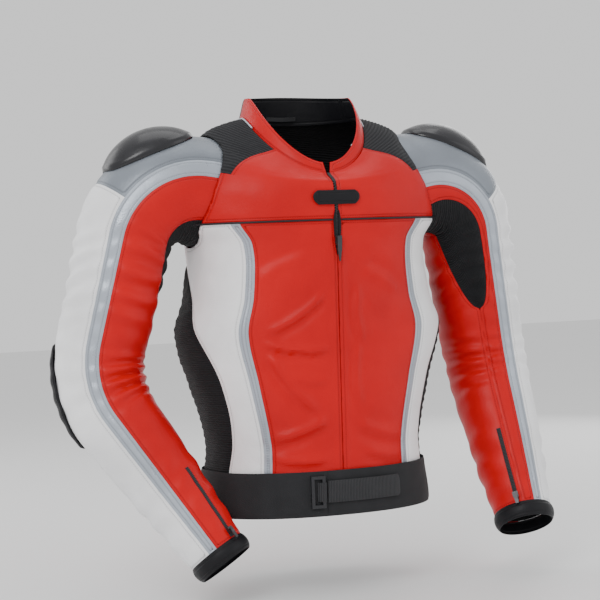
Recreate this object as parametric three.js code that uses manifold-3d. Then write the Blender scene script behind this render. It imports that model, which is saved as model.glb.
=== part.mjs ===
// Two-piece-suit riding jacket in panelled leather, zipped up, with both sleeves curved as on a rider.
// Millimetres. +Z is up, the front faces -Y and the wearer's right is at -X.
// The origin is the hanger loop at the centre of the back neck; heights in this file are measured up
// from the hem, and the whole jacket is lowered at the end to put the loop at the origin.
import * as THREE from "three";
import { mergeVertices } from "three/addons/utils/BufferGeometryUtils.js";
import Module from "manifold-3d";

const wasm = await Module();
wasm.setup();

// ---------- driving dimensions ----------
// Trunk, measured over the outside of the leather. Widths and depths are half sizes.
const HEM_HALF_WIDTH = 163;
const WAIST_HALF_WIDTH = 156;
const CHEST_HALF_WIDTH = 194;
const ARMPIT_HALF_WIDTH = 172;
const BACK_DEPTH = 116;
const FRONT_DEPTH = 114.5; // at the hem
const ZIP_LEAN = 0.0294; // how far the straight front line leans forward for each millimetre up
const WAIST_HEIGHT = 100;
const CHEST_HEIGHT = 250;
const YOKE_HEIGHT = 400; // seam across the chest
const NECK_HALF_WIDTH = 86;
const NECK_HEIGHT = 548; // at the sides and the back
const FRONT_NECK_HEIGHT = 466;
const COLLAR_BACK_HEIGHT = 35;
const COLLAR_SIDE_HEIGHT = 28;
const COLLAR_FRONT_HEIGHT = 13;

const LEATHER = 4; // leather, padding and its seam allowance together
const SEAM = 1.6; // open line left between two panels
const LAYER = 0.8; // gap between a panel and a piece lying on it

const BELT_HEIGHT = 60;
const BELT_THICKNESS = 3.4;
const STRAP_HEIGHT = 30;
const STRAP_THICKNESS = 3;
const LUMBAR_TOP = 112;

const ZIP_WIDTH = 13; // tape and teeth seen between the front edges
const ZIP_BOTTOM = 68;
const SLIDER_HEIGHT = 372; // where the slider stands when the jacket is worn
const SLIDER = { width: 9, height: 13, depth: 4.5 };
const PULL = { width: 6.4, length: 34, thickness: 2, top: 2, taperFrom: 0.45, tipHalfWidth: 0.8 };
// The middle of the hanger loop is the part's origin. It lies behind the trunk's axis.
const ORIGIN = { back: 69.5, height: 552.4 };
const TAB = { bottom: 421, top: 443, halfWidth: 34, thickness: 2.8 };

// Armhole and sleeve.
const ARMHOLE = { halfSpan: 158, forward: 1, height: 447, radius: 77, tilt: -10.7 };
const ARMHOLE_CLEARANCE = 1.6;
const SLEEVE_ROOT = 40; // how far the sleeve reaches inside the armhole
const ROOT_END = 8; // the sleeve runs straight this far outside the armhole
const SHOULDER_TURN = 79; // from there to the corner where it turns down
const ELBOW_TURN = 62;
const UPPER_RADIUS = 65;
const ELBOW_RADIUS = 60;
const FOREARM_RADIUS = 52;
const CUFF_RADIUS = 39;
const CUFF_WIDTH = 22;
const ELBOW_FOLD = 70; // length of soft sleeve on each side of the elbow
const CUFF_ZIP_LENGTH = 112;
const SHOULDER_PANEL_LENGTH = 98;
const CUP_HEIGHT = 19;
const GUSSET = { halfAngle: 36, length: 244 };
const ELBOW_PAD_HEIGHT = 7;
const CUFF_SLIDER = { width: 8, height: 9, depth: 3 };
const CUFF_PULL = { width: 5, length: 15, thickness: 1.6 };

// Elbow and wrist positions, and where round the sleeve its trim lies: degrees from the outer line
// towards the front.
const SLEEVES = {
  right: {
    side: -1,
    elbow: [-314, 14, 184],
    wrist: [-168, -100, -57],
    stripe: 68,
    backSeam: -78,
    elbowPad: -32,
    gusset: [160, 184],
    zip: 118,
  },
  left: {
    side: 1,
    elbow: [294, 30, 184],
    wrist: [285, -100, -44],
    stripe: 84,
    backSeam: -72,
    elbowPad: -50,
    gusset: [150, 118],
    zip: 128,
  },
};

const COLOURS = {
  red: { color: 0xd8201c, roughness: 0.42, metalness: 0 },
  white: { color: 0xecebee, roughness: 0.45, metalness: 0 },
  silver: { color: 0xa9b1bb, roughness: 0.32, metalness: 0.35 },
  grey: { color: 0x7d848c, roughness: 0.4, metalness: 0.15 },
  black: { color: 0x17181c, roughness: 0.5, metalness: 0 },
  stretch: { color: 0x1c1d21, roughness: 0.85, metalness: 0 },
  webbing: { color: 0x2a2b30, roughness: 0.75, metalness: 0 },
  cup: { color: 0x0f1013, roughness: 0.35, metalness: 0 },
  lining: { color: 0x101114, roughness: 0.8, metalness: 0 },
  foam: { color: 0x8f9296, roughness: 0.9, metalness: 0 },
  metal: { color: 0x3a3b3e, roughness: 0.35, metalness: 0.9 },
};

const radians = THREE.MathUtils.degToRad;
const degrees = THREE.MathUtils.radToDeg;
const jacket = new THREE.Group();

// ---------- trunk surface ----------
// Each station is a closed loop round the trunk. From the hem to the armpit the loops are level; above
// it their sides climb the shoulder faster than their front, up to the neck seam.
const frontDepth = (height) => FRONT_DEPTH + ZIP_LEAN * height;
const shoulderTip = {
  x: ARMHOLE.halfSpan + ARMHOLE.radius * Math.sin(radians(ARMHOLE.tilt)),
  z: ARMHOLE.height + ARMHOLE.radius * Math.cos(radians(ARMHOLE.tilt)),
};
const SHOULDER_COVER = ARMHOLE_CLEARANCE + LEATHER + 1; // the shoulder lies this far above the sleeve
const armpitHeight = 2 * ARMHOLE.height - shoulderTip.z;
const level = (height) => ({ side: height, front: height, back: height });
const station = (at, half, front, back, z = level(at)) => ({ at, half, front, back, z });
const TRUNK = [
  station(0, HEM_HALF_WIDTH, frontDepth(0), BACK_DEPTH - 10),
  station(60, WAIST_HALF_WIDTH + 1, frontDepth(60), BACK_DEPTH - 18),
  station(WAIST_HEIGHT, WAIST_HALF_WIDTH, frontDepth(WAIST_HEIGHT), BACK_DEPTH - 19),
  station(180, 176, frontDepth(180), BACK_DEPTH - 8),
  station(CHEST_HEIGHT, CHEST_HALF_WIDTH, frontDepth(CHEST_HEIGHT), BACK_DEPTH),
  station(300, ARMPIT_HALF_WIDTH + 6, frontDepth(300), BACK_DEPTH + 6),
  station(armpitHeight, ARMPIT_HALF_WIDTH, frontDepth(armpitHeight), BACK_DEPTH + 9),
  station(YOKE_HEIGHT, 192, frontDepth(YOKE_HEIGHT), BACK_DEPTH + 10),
  station(440, 192, 125.5, BACK_DEPTH + 8, { side: 446, front: 438, back: 446 }),
  station(470, 176, 122, BACK_DEPTH + 5, { side: 486, front: 452, back: 476 }),
  station(500, 158, 117, BACK_DEPTH - 1, { side: 514, front: 457, back: 500 }),
  station(520, shoulderTip.x - 3, 113, BACK_DEPTH - 6, {
    side: shoulderTip.z + SHOULDER_COVER,
    front: 459,
    back: 512,
  }),
  station(560, 122, 109, BACK_DEPTH - 15, { side: 538, front: 461, back: 526 }),
  station(600, 102, 105, BACK_DEPTH - 24, { side: 544, front: 463, back: 538 }),
  station(640, NECK_HALF_WIDTH, 102, BACK_DEPTH - 32, {
    side: NECK_HEIGHT,
    front: FRONT_NECK_HEIGHT,
    back: NECK_HEIGHT,
  }),
];
const NECK_SEAM = TRUNK.at(-1).at;
const SHOULDER_EDGE = 470;
const WHITE_BACK_TOP = 512;
const SQUARENESS = 2.25; // 2 is an ellipse; more is fuller towards the corners
const RISE_POWER = 1.4;

// Smooth value of one quantity at a station between those listed.
function along(stations, at, read) {
  let k = 0;
  while (k < stations.length - 2 && at > stations[k + 1].at) k += 1;
  const slope = (i) => {
    const a = stations[Math.max(i - 1, 0)];
    const b = stations[Math.min(i + 1, stations.length - 1)];
    return (read(b) - read(a)) / (b.at - a.at);
  };
  const [a, b] = [stations[k], stations[k + 1]];
  const span = b.at - a.at;
  const t = (at - a.at) / span;
  const s = 1 - t;
  return (
    read(a) * s * s * (1 + 2 * t) +
    read(b) * t * t * (1 + 2 * s) +
    span * t * s * (slope(k) * s - slope(k + 1) * t)
  );
}

// A point of the loop through given half sizes, at an angle from the front centre towards the left side.
function onLoop(angle, half, front, back, z) {
  const [sin, cos] = [Math.sin(radians(angle)), Math.cos(radians(angle))];
  const reach = (Math.abs(sin) ** SQUARENESS + Math.abs(cos) ** SQUARENESS) ** (-1 / SQUARENESS);
  const [depth, end] = cos > 0 ? [front, z.front] : [back, z.back];
  return new THREE.Vector3(
    half * reach * sin,
    -depth * reach * cos,
    z.side + (end - z.side) * Math.abs(cos) ** RISE_POWER,
  );
}

const trunk = (angle, at) =>
  onLoop(
    angle,
    along(TRUNK, at, (s) => s.half),
    along(TRUNK, at, (s) => s.front),
    along(TRUNK, at, (s) => s.back),
    {
      side: along(TRUNK, at, (s) => s.z.side),
      front: along(TRUNK, at, (s) => s.z.front),
      back: along(TRUNK, at, (s) => s.z.back),
    },
  );

// The angle at which the front of the trunk is a given distance to one side of the centre line.
function angleAt(x, at) {
  const half = along(TRUNK, at, (s) => s.half);
  return Math.sign(x) * degrees(Math.atan(Math.abs(x) / half));
}

// The collar leans in slightly from the neck seam to its top edge; share runs from 0 to 1.
const NECK_FRONT_DEPTH = TRUNK.at(-1).front;
const NECK_BACK_DEPTH = TRUNK.at(-1).back;
const collar = (angle, share) =>
  onLoop(
    angle,
    NECK_HALF_WIDTH - 1 - 8 * share,
    NECK_FRONT_DEPTH - 1 - 4 * share,
    NECK_BACK_DEPTH - 1 - 7 * share,
    {
      side: NECK_HEIGHT + SEAM + COLLAR_SIDE_HEIGHT * share,
      front: FRONT_NECK_HEIGHT + SEAM + COLLAR_FRONT_HEIGHT * share,
      back: NECK_HEIGHT + SEAM + COLLAR_BACK_HEIGHT * share,
    },
  );

// ---------- sleeve surface ----------
// The centre line is three straight stretches joined by two round turns, at the shoulder and the elbow.
function sleevePath({ side, elbow, wrist }) {
  const tilt = radians(ARMHOLE.tilt);
  const axis = new THREE.Vector3(side * Math.cos(tilt), 0, -Math.sin(tilt));
  const socket = new THREE.Vector3(side * ARMHOLE.halfSpan, ARMHOLE.forward, ARMHOLE.height);
  const corners = [
    socket.clone().addScaledVector(axis, -SLEEVE_ROOT),
    socket.clone().addScaledVector(axis, ROOT_END + SHOULDER_TURN),
    new THREE.Vector3(...elbow),
    new THREE.Vector3(...wrist),
  ];
  const path = new THREE.CurvePath();
  let start = corners[0];
  [SHOULDER_TURN, ELBOW_TURN].forEach((reach, i) => {
    const corner = corners[i + 1];
    const before = corner.clone().sub(corners[i]).normalize();
    const after = corners[i + 2].clone().sub(corner).normalize();
    const entry = corner.clone().addScaledVector(before, -reach);
    const exit = corner.clone().addScaledVector(after, reach);
    const turn = before.angleTo(after);
    const handle = ((4 / 3) * Math.tan(turn / 4) * reach) / Math.tan(turn / 2);
    const [leave, join] = [before, after.clone().negate()].map((way) => way.multiplyScalar(handle));
    path.add(new THREE.LineCurve3(start, entry));
    path.add(new THREE.CubicBezierCurve3(entry, entry.clone().add(leave), exit.clone().add(join), exit));
    start = exit;
  });
  path.add(new THREE.LineCurve3(start, corners[3]));
  return { path, axis, socket, corners, length: path.getLength() };
}

// Frames are carried along the centre line without twist, starting from the top of the armhole.
const FRAME_STEPS = 240;
function makeSleeve(name) {
  const spec = SLEEVES[name];
  const { path, axis, socket, corners, length } = sleevePath(spec);
  const tilt = radians(ARMHOLE.tilt);
  let outward = new THREE.Vector3(spec.side * Math.sin(tilt), 0, Math.cos(tilt));
  const frames = [];
  for (let i = 0; i <= FRAME_STEPS; i += 1) {
    const share = i / FRAME_STEPS;
    const tangent = path.getTangentAt(share).normalize();
    outward = outward.clone().addScaledVector(tangent, -outward.dot(tangent)).normalize();
    let front = outward.clone().cross(tangent);
    if (spec.side > 0) front = front.negate();
    frames.push({ centre: path.getPointAt(share), outward, front });
  }
  const elbowAt = nearest(frames, corners[2]) * (length / FRAME_STEPS) - SLEEVE_ROOT;
  const end = length - SLEEVE_ROOT;
  const radii = [
    { at: 0, radius: ARMHOLE.radius },
    { at: 45, radius: ARMHOLE.radius - 5 },
    { at: 90, radius: ARMHOLE.radius - 8 },
    { at: 150, radius: UPPER_RADIUS },
    { at: elbowAt, radius: ELBOW_RADIUS },
    { at: elbowAt + 0.5 * (end - elbowAt), radius: FOREARM_RADIUS },
    { at: end, radius: CUFF_RADIUS },
  ];
  const radiusAt = (at) => (at < 0 ? ARMHOLE.radius : along(radii, at, (s) => s.radius));
  const surface = (angle, at) => {
    const place = THREE.MathUtils.clamp((at + SLEEVE_ROOT) / length, 0, 1) * FRAME_STEPS;
    const k = Math.min(Math.floor(place), FRAME_STEPS - 1);
    const [a, b, t] = [frames[k], frames[k + 1], place - k];
    const mix = (key) => a[key].clone().lerp(b[key], t);
    const [sin, cos] = [Math.sin(radians(angle)), Math.cos(radians(angle))];
    return mix("centre")
      .addScaledVector(mix("outward").normalize(), radiusAt(at) * cos)
      .addScaledVector(mix("front").normalize(), radiusAt(at) * sin);
  };
  return { name, spec, axis, socket, surface, elbowAt, end, radiusAt };
}

function nearest(frames, point) {
  let best = 0;
  frames.forEach((frame, i) => {
    if (frame.centre.distanceTo(point) < frames[best].centre.distanceTo(point)) best = i;
  });
  return best;
}

// ---------- sheets ----------
// The outward normal of a surface, from two short steps along it; inside is a point it faces away from.
function normalOf(surface, angle, at, inside) {
  const [turn, step] = [0.4, 0.6];
  const across = surface(angle + turn, at).sub(surface(angle - turn, at));
  const up = surface(angle, at + step).sub(surface(angle, at - step));
  const normal = across.cross(up).normalize();
  return normal.dot(surface(angle, at).sub(inside)) < 0 ? normal.negate() : normal;
}

const mean = (surface, at) =>
  [0, 90, 180, 270]
    .reduce((sum, angle) => sum.add(surface(angle, at)), new THREE.Vector3())
    .divideScalar(4);

// A closed sheet of a surface. Its rows lie at the given places, each from its left to its right angle,
// between an inner and an outer offset, which may be a function of the shares across and along.
function sheet(surface, { rows, left, right, across, inner, outer, ring = false }) {
  const read = (value, i, j) =>
    typeof value === "function" ? value(i / across, j / (rows.length - 1)) : value;
  const columns = ring ? across : across + 1;
  const points = { outer: [], inner: [] };
  rows.forEach((at, j) => {
    const [a, b] = ring ? [0, 360] : [left(at), right(at)];
    const inside = mean(surface, at);
    for (let i = 0; i < columns; i += 1) {
      const angle = a + ((b - a) * i) / across;
      const normal = normalOf(surface, angle, at, inside);
      const point = surface(angle, at);
      points.outer.push(point.clone().addScaledVector(normal, read(outer, i, j)));
      points.inner.push(point.clone().addScaledVector(normal, read(inner, i, j)));
    }
  });
  const count = points.outer.length;
  const outerAt = (i, j) => j * columns + (i % columns);
  const innerAt = (i, j) => outerAt(i, j) + count;
  const faces = [];
  const quad = (a, b, c, d) => faces.push(a, b, c, a, c, d);
  const last = rows.length - 1;
  for (let j = 0; j < last; j += 1) {
    for (let i = 0; i < across; i += 1) {
      quad(outerAt(i, j), outerAt(i + 1, j), outerAt(i + 1, j + 1), outerAt(i, j + 1));
      quad(innerAt(i, j), innerAt(i, j + 1), innerAt(i + 1, j + 1), innerAt(i + 1, j));
    }
    if (!ring) {
      quad(innerAt(0, j), outerAt(0, j), outerAt(0, j + 1), innerAt(0, j + 1));
      quad(outerAt(across, j), innerAt(across, j), innerAt(across, j + 1), outerAt(across, j + 1));
    }
  }
  for (let i = 0; i < across; i += 1) {
    quad(innerAt(i, 0), innerAt(i + 1, 0), outerAt(i + 1, 0), outerAt(i, 0));
    quad(outerAt(i, last), outerAt(i + 1, last), innerAt(i + 1, last), innerAt(i, last));
  }
  return facingOut([...points.outer, ...points.inner], faces);
}

// A geometry from points and triangles, turned so that its faces point outwards.
function facingOut(points, faces) {
  let volume = 0;
  for (let i = 0; i < faces.length; i += 3) {
    const [a, b, c] = [points[faces[i]], points[faces[i + 1]], points[faces[i + 2]]];
    volume += a.dot(b.clone().cross(c));
  }
  if (volume < 0)
    for (let i = 0; i < faces.length; i += 3)
      [faces[i + 1], faces[i + 2]] = [faces[i + 2], faces[i + 1]];
  const geometry = new THREE.BufferGeometry().setFromPoints(points);
  geometry.setIndex(faces);
  return geometry;
}

// Rows at a spacing of about step, always including both ends.
function rowsFrom(start, end, step) {
  const count = Math.max(1, Math.round((end - start) / step));
  return Array.from({ length: count + 1 }, (_, i) => start + ((end - start) * i) / count);
}

// Trunk panels share these levels, so that neighbours have the same border line between their ends.
const TRUNK_ROWS = [0, 30, 60, 112, 150, 190, 230, 270, 305, 345, 372, 400, 430, 462, 470, 490, 512, 520];
TRUNK_ROWS.push(560, 600, NECK_SEAM);
function trunkRows(start, end) {
  return [start, ...TRUNK_ROWS.filter((at) => at > start + 4 && at < end - 4), end];
}

// A border given as corner points [level, angle], straight between them.
const border = (corners) => (at) => {
  let k = 0;
  while (k < corners.length - 2 && at > corners[k + 1][0]) k += 1;
  const [[a, from], [b, to]] = [corners[k], corners[k + 1]];
  return from + (to - from) * THREE.MathUtils.clamp((at - a) / (b - a), 0, 1);
};

// ---------- solids ----------
function toSolid(geometry) {
  const bare = geometry.clone();
  bare.deleteAttribute("normal");
  bare.deleteAttribute("uv");
  const merged = mergeVertices(bare, 1e-4);
  return new wasm.Manifold(
    new wasm.Mesh({
      numProp: 3,
      vertProperties: merged.attributes.position.array,
      triVerts: new Uint32Array(merged.index.array),
    }),
  );
}

function toGeometry(solid) {
  const mesh = solid.getMesh();
  const geometry = new THREE.BufferGeometry();
  geometry.setAttribute("position", new THREE.BufferAttribute(mesh.vertProperties, mesh.numProp));
  geometry.setIndex(new THREE.BufferAttribute(mesh.triVerts, 1));
  return geometry;
}

const biggest = (solid) => solid.decompose().reduce((a, b) => (a.volume() > b.volume() ? a : b));

function addPiece(name, geometry, colour) {
  const mesh = new THREE.Mesh(geometry, new THREE.MeshStandardMaterial(COLOURS[colour]));
  mesh.name = name;
  jacket.add(mesh);
}

// ---------- armholes ----------
const HOLE_SIDES = 48;
function armholeCutter(side) {
  const radius = (ARMHOLE.radius + ARMHOLE_CLEARANCE) / Math.cos(Math.PI / HOLE_SIDES);
  const length = 150;
  const bar = new THREE.CylinderGeometry(radius, radius, length, HOLE_SIDES);
  bar.rotateZ(Math.PI / 2);
  bar.translate(length / 2 - SLEEVE_ROOT - 6, 0, 0);
  bar.rotateY(radians(ARMHOLE.tilt));
  if (side < 0) bar.rotateZ(Math.PI);
  bar.translate(side * ARMHOLE.halfSpan, ARMHOLE.forward, ARMHOLE.height);
  return toSolid(bar);
}
const cutters = { right: armholeCutter(-1), left: armholeCutter(1) };

const cutArmholes = (geometry) =>
  toGeometry(biggest(toSolid(geometry).subtract(cutters.right).subtract(cutters.left)));

// ---------- trunk panels ----------
// Borders between panels on the left half, as [level, angle]; the right half mirrors them.
const STRIPE_FRONT = border([[0, 36], [112, 37], [230, 38], [345, 39], [YOKE_HEIGHT, 41]]);
const STRIPE_WIDTH = 4.4;
const ARMPIT_LEVEL = 345;
const SIDE_FRONT = border([[0, 66], [60, 64], [150, 58], [230, 63], [305, 84], [ARMPIT_LEVEL, 102]]);
const SIDE_BACK = border([[0, 124], [112, 126], [190, 138], [250, 143], [305, 136], [ARMPIT_LEVEL, 120]]);
const HOLE_FRONT = border([[ARMPIT_LEVEL, 102], [YOKE_HEIGHT, 92]]);
const HOLE_BACK = border([[ARMPIT_LEVEL, 120], [372, 106], [462, 104], [SHOULDER_EDGE, 121], [600, 121]]);
const BACK_SEAM = border([[LUMBAR_TOP, 162], [250, 155], [YOKE_HEIGHT, 148], [470, 140], [WHITE_BACK_TOP, 134]]);
const BACK_TOP = border([[WHITE_BACK_TOP, 134], [520, 128], [NECK_SEAM, 128]]);
const YOKE_SIDE = border([[YOKE_HEIGHT, 92], [462, 86], [SHOULDER_EDGE, 48], [NECK_SEAM, 48]]);
const SHOULDER_BACK = border([[SHOULDER_EDGE, 120], [WHITE_BACK_TOP, 120], [520, 127], [NECK_SEAM, 127]]);
const pick = (split, lower, upper) => (at) => (at < split ? lower(at) : upper(at));

const gapAt = (at) => degrees(SEAM / 2 / along(TRUNK, at, (s) => s.half));
const after = (line) => (at) => line(at) + gapAt(at);
const before = (line) => (at) => line(at) - gapAt(at);
const mirrored = (line) => (at) => -line(at);
const zipEdge = (at) => angleAt(ZIP_WIDTH / 2 + 1.4, at);
const stripeBack = (at) => STRIPE_FRONT(at) + STRIPE_WIDTH;
const body = { inner: -LEATHER, outer: 0 };

// One panel for each half of the trunk, from a pair of borders on the left half.
function pairOfPanels(name, colour, { start, end, left, right, across, offsets = body, cut = false }) {
  const rows = trunkRows(start + SEAM / 2, end - SEAM / 2);
  const sides = { left: { left, right }, right: { left: mirrored(right), right: mirrored(left) } };
  for (const [side, borders] of Object.entries(sides)) {
    const geometry = sheet(trunk, { rows, ...borders, across, ...offsets });
    addPiece(`${name}_${side}`, cut ? cutArmholes(geometry) : geometry, colour);
  }
}

pairOfPanels("front_panel", "red", {
  start: 0,
  end: YOKE_HEIGHT,
  left: zipEdge,
  right: before(STRIPE_FRONT),
  across: 5,
});
pairOfPanels("front_stripe", "silver", {
  start: 0,
  end: YOKE_HEIGHT,
  left: after(STRIPE_FRONT),
  right: before(stripeBack),
  across: 1,
  cut: true,
});
pairOfPanels("side_front_panel", "white", {
  start: 0,
  end: YOKE_HEIGHT,
  left: after(stripeBack),
  right: before(pick(ARMPIT_LEVEL, SIDE_FRONT, HOLE_FRONT)),
  across: 4,
  cut: true,
});
pairOfPanels("side_stretch_panel", "stretch", {
  start: 0,
  end: ARMPIT_LEVEL,
  left: after(SIDE_FRONT),
  right: before(SIDE_BACK),
  across: 5,
  cut: true,
});
pairOfPanels("back_side_panel", "white", {
  start: LUMBAR_TOP,
  end: WHITE_BACK_TOP,
  left: after(pick(ARMPIT_LEVEL, SIDE_BACK, HOLE_BACK)),
  right: before(BACK_SEAM),
  across: 4,
  cut: true,
});
pairOfPanels("front_yoke", "red", {
  start: YOKE_HEIGHT,
  end: NECK_SEAM,
  left: zipEdge,
  right: before(YOKE_SIDE),
  across: 7,
  cut: true,
});
pairOfPanels("shoulder_stretch_panel", "stretch", {
  start: SHOULDER_EDGE,
  end: NECK_SEAM,
  left: after(YOKE_SIDE),
  right: before(SHOULDER_BACK),
  across: 5,
  cut: true,
});

const backPanel = (name, colour, start, end, line, across) =>
  addPiece(
    name,
    cutArmholes(
      sheet(trunk, {
        rows: trunkRows(start + SEAM / 2, end - SEAM / 2),
        left: after(line),
        right: (at) => 360 - line(at) - gapAt(at),
        across,
        ...body,
      }),
    ),
    colour,
  );
backPanel("back_centre_panel", "red", LUMBAR_TOP, NECK_SEAM, pick(WHITE_BACK_TOP, BACK_SEAM, BACK_TOP), 8);
backPanel("lumbar_panel", "stretch", 0, LUMBAR_TOP, SIDE_BACK, 8);

// ---------- collar ----------
function collarPart(name, colour, from, to, across) {
  const options = { rows: [0, 0.5, 1], left: () => from, right: () => to, across };
  addPiece(name, sheet(collar, { ...options, inner: -LEATHER, outer: 0 }), colour);
}
const COLLAR_EDGE = degrees(Math.atan((ZIP_WIDTH / 2 + 1.4) / NECK_HALF_WIDTH));
const COLLAR_SPLIT = 108; // the red fronts of the collar meet its black back here
collarPart("collar_left", "red", COLLAR_EDGE, COLLAR_SPLIT - 0.6, 8);
collarPart("collar_back", "black", COLLAR_SPLIT + 0.6, 360 - COLLAR_SPLIT - 0.6, 10);
collarPart("collar_right", "red", 360 - COLLAR_SPLIT + 0.6, 360 - COLLAR_EDGE, 8);

// ---------- what lies inside the trunk ----------
const LINING = { outer: -LEATHER - 5, inner: -LEATHER - 6.2 };
addPiece(
  "body_lining",
  cutArmholes(
    sheet(trunk, {
      rows: trunkRows(ZIP_BOTTOM, YOKE_HEIGHT + 40),
      left: () => 8,
      right: () => 352,
      across: 32,
      ...LINING,
    }),
  ),
  "lining",
);

const PROTECTOR = { bottom: 132, top: 448, halfAngle: 26, thickness: 9, web: 3, plates: 4 };
const protectorRows = [];
for (let i = 0; i < PROTECTOR.plates; i += 1) {
  const plate = (PROTECTOR.top - PROTECTOR.bottom) / PROTECTOR.plates;
  const start = PROTECTOR.bottom + i * plate;
  protectorRows.push(start, start + 5, start + plate - 9, start + plate - 4);
}
const insidePlate = (j) => j % 4 === 1 || j % 4 === 2;
addPiece(
  "back_protector",
  sheet(trunk, {
    rows: protectorRows,
    left: () => 180 - PROTECTOR.halfAngle,
    right: () => 180 + PROTECTOR.halfAngle,
    across: 6,
    outer: LINING.inner - 3,
    inner: (_, share) => {
      const row = Math.round(share * (protectorRows.length - 1));
      return LINING.inner - 3 - (insidePlate(row) ? PROTECTOR.thickness : PROTECTOR.web);
    },
  }),
  "foam",
);

// ---------- hanger loop ----------
// A strip lying on the inside of the collar's back, which stands away from it in the middle.
const LOOP = { halfAngle: 16, rows: [0.04, 0.2], gap: 0.4, slack: 7, thickness: 1.6 };
const loopOuter = (i) => -LEATHER - LOOP.gap - LOOP.slack * Math.sin(Math.PI * i);
addPiece(
  "hanger_loop",
  sheet(collar, {
    rows: LOOP.rows,
    left: () => 180 - LOOP.halfAngle,
    right: () => 180 + LOOP.halfAngle,
    across: 10,
    outer: loopOuter,
    inner: (i) => loopOuter(i) - LOOP.thickness,
  }),
  "webbing",
);

// ---------- front zip ----------
addPiece(
  "front_zip_chain",
  sheet(trunk, {
    rows: trunkRows(ZIP_BOTTOM, NECK_SEAM - 2),
    left: (at) => angleAt(-ZIP_WIDTH / 2, at),
    right: (at) => angleAt(ZIP_WIDTH / 2, at),
    across: 2,
    inner: -3.4,
    outer: -0.4,
  }),
  "webbing",
);

// A slider, square on to the zip, with its back face just clear of the chain.
function bevelledBlock(width, depth, height) {
  const bevel = depth / 4;
  const outline = new THREE.Shape();
  outline.moveTo(-width / 2 + bevel, -height / 2);
  outline.lineTo(width / 2 - bevel, -height / 2);
  outline.lineTo(width / 2, -height / 4);
  outline.lineTo(width / 2, height / 2);
  outline.lineTo(-width / 2, height / 2);
  outline.lineTo(-width / 2, -height / 4);
  const block = new THREE.ExtrudeGeometry(outline, { depth, bevelEnabled: false });
  block.rotateX(Math.PI / 2);
  block.translate(0, depth / 2, 0);
  return block;
}

const zipLean = Math.atan(ZIP_LEAN);
const onZip = (geometry, proud, height) =>
  geometry.rotateX(zipLean).translate(0, -frontDepth(height) - proud, height);
const sliderGap = 0.6;
addPiece(
  "front_zip_slider",
  onZip(
    bevelledBlock(SLIDER.width, SLIDER.depth, SLIDER.height),
    sliderGap + SLIDER.depth / 2,
    SLIDER_HEIGHT,
  ),
  "metal",
);
const pullProud = sliderGap + SLIDER.depth + 0.5 + PULL.thickness / 2;
// The pull is a flat leaf that narrows to a blunt point.
const leaf = new THREE.Shape();
const leafHalf = PULL.width / 2;
const taperHeight = -PULL.length * PULL.taperFrom;
const tipHeight = PULL.top - PULL.length;
leaf.moveTo(-leafHalf, PULL.top);
leaf.lineTo(-leafHalf, taperHeight);
leaf.lineTo(-PULL.tipHalfWidth, tipHeight);
leaf.lineTo(PULL.tipHalfWidth, tipHeight);
leaf.lineTo(leafHalf, taperHeight);
leaf.lineTo(leafHalf, PULL.top);
const leafPlate = new THREE.ExtrudeGeometry(leaf, { depth: PULL.thickness, bevelEnabled: false });
leafPlate.rotateX(Math.PI / 2);
leafPlate.translate(0, PULL.thickness / 2, 0);
addPiece("front_zip_pull", onZip(leafPlate, pullProud, SLIDER_HEIGHT + 4), "metal");

// ---------- throat tab ----------
const tabShare = (at) => (at - TAB.bottom) / (TAB.top - TAB.bottom);
const tabEdge = (at) =>
  angleAt(TAB.halfWidth - 9 + 9 * Math.sin(Math.PI * (0.12 + 0.76 * tabShare(at))), at);
addPiece(
  "throat_tab",
  sheet(trunk, {
    rows: rowsFrom(TAB.bottom, TAB.top, 5),
    left: (at) => -tabEdge(at),
    right: tabEdge,
    across: 6,
    inner: LAYER,
    outer: LAYER + TAB.thickness,
  }),
  "webbing",
);

// ---------- waist belt ----------
const BELT_JOIN = -9; // angle where the belt's two ends meet, beside the front zip
const STRAP_END = 30;
const BUCKLE_ANGLE = -14;
const belt = { inner: 2 * LAYER, outer: 2 * LAYER + BELT_THICKNESS };
addPiece(
  "waist_belt",
  sheet(trunk, {
    rows: [-2, BELT_HEIGHT / 2, BELT_HEIGHT],
    left: () => BELT_JOIN + 0.6,
    right: () => BELT_JOIN + 359.4,
    across: 44,
    ...belt,
  }),
  "webbing",
);

const strapMiddle = BELT_HEIGHT / 2 + 2;
const strapRows = rowsFrom(strapMiddle - STRAP_HEIGHT / 2, strapMiddle + STRAP_HEIGHT / 2, 15);
addPiece(
  "belt_strap",
  sheet(trunk, {
    rows: strapRows,
    left: () => BUCKLE_ANGLE + 4.6,
    right: () => STRAP_END,
    across: 8,
    inner: belt.outer + LAYER,
    outer: belt.outer + LAYER + STRAP_THICKNESS,
  }),
  "webbing",
);

// A rectangular loop with a slot that the strap turns back through.
const BUCKLE = { width: 20, height: STRAP_HEIGHT + 14, bar: 4.5, thickness: 3.5 };
function rectangle(Kind, width, height) {
  const path = new Kind();
  path.moveTo(-width / 2, -height / 2);
  path.lineTo(width / 2, -height / 2);
  path.lineTo(width / 2, height / 2);
  path.lineTo(-width / 2, height / 2);
  path.closePath();
  return path;
}
const buckleShape = rectangle(THREE.Shape, BUCKLE.width, BUCKLE.height);
const slot = [BUCKLE.width - 2 * BUCKLE.bar, BUCKLE.height - 2 * BUCKLE.bar];
buckleShape.holes.push(rectangle(THREE.Path, ...slot));
const buckle = new THREE.ExtrudeGeometry(buckleShape, { depth: BUCKLE.thickness, bevelEnabled: false });
const buckleSeat = trunk(BUCKLE_ANGLE, strapMiddle);
const buckleNormal = normalOf(trunk, BUCKLE_ANGLE, strapMiddle, mean(trunk, strapMiddle));
buckle.rotateX(Math.PI / 2);
buckle.rotateZ(Math.atan2(buckleNormal.x, -buckleNormal.y));
buckle.translate(buckleSeat.x, buckleSeat.y, strapMiddle);
const buckleProud = belt.outer + LAYER + 0.6;
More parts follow.
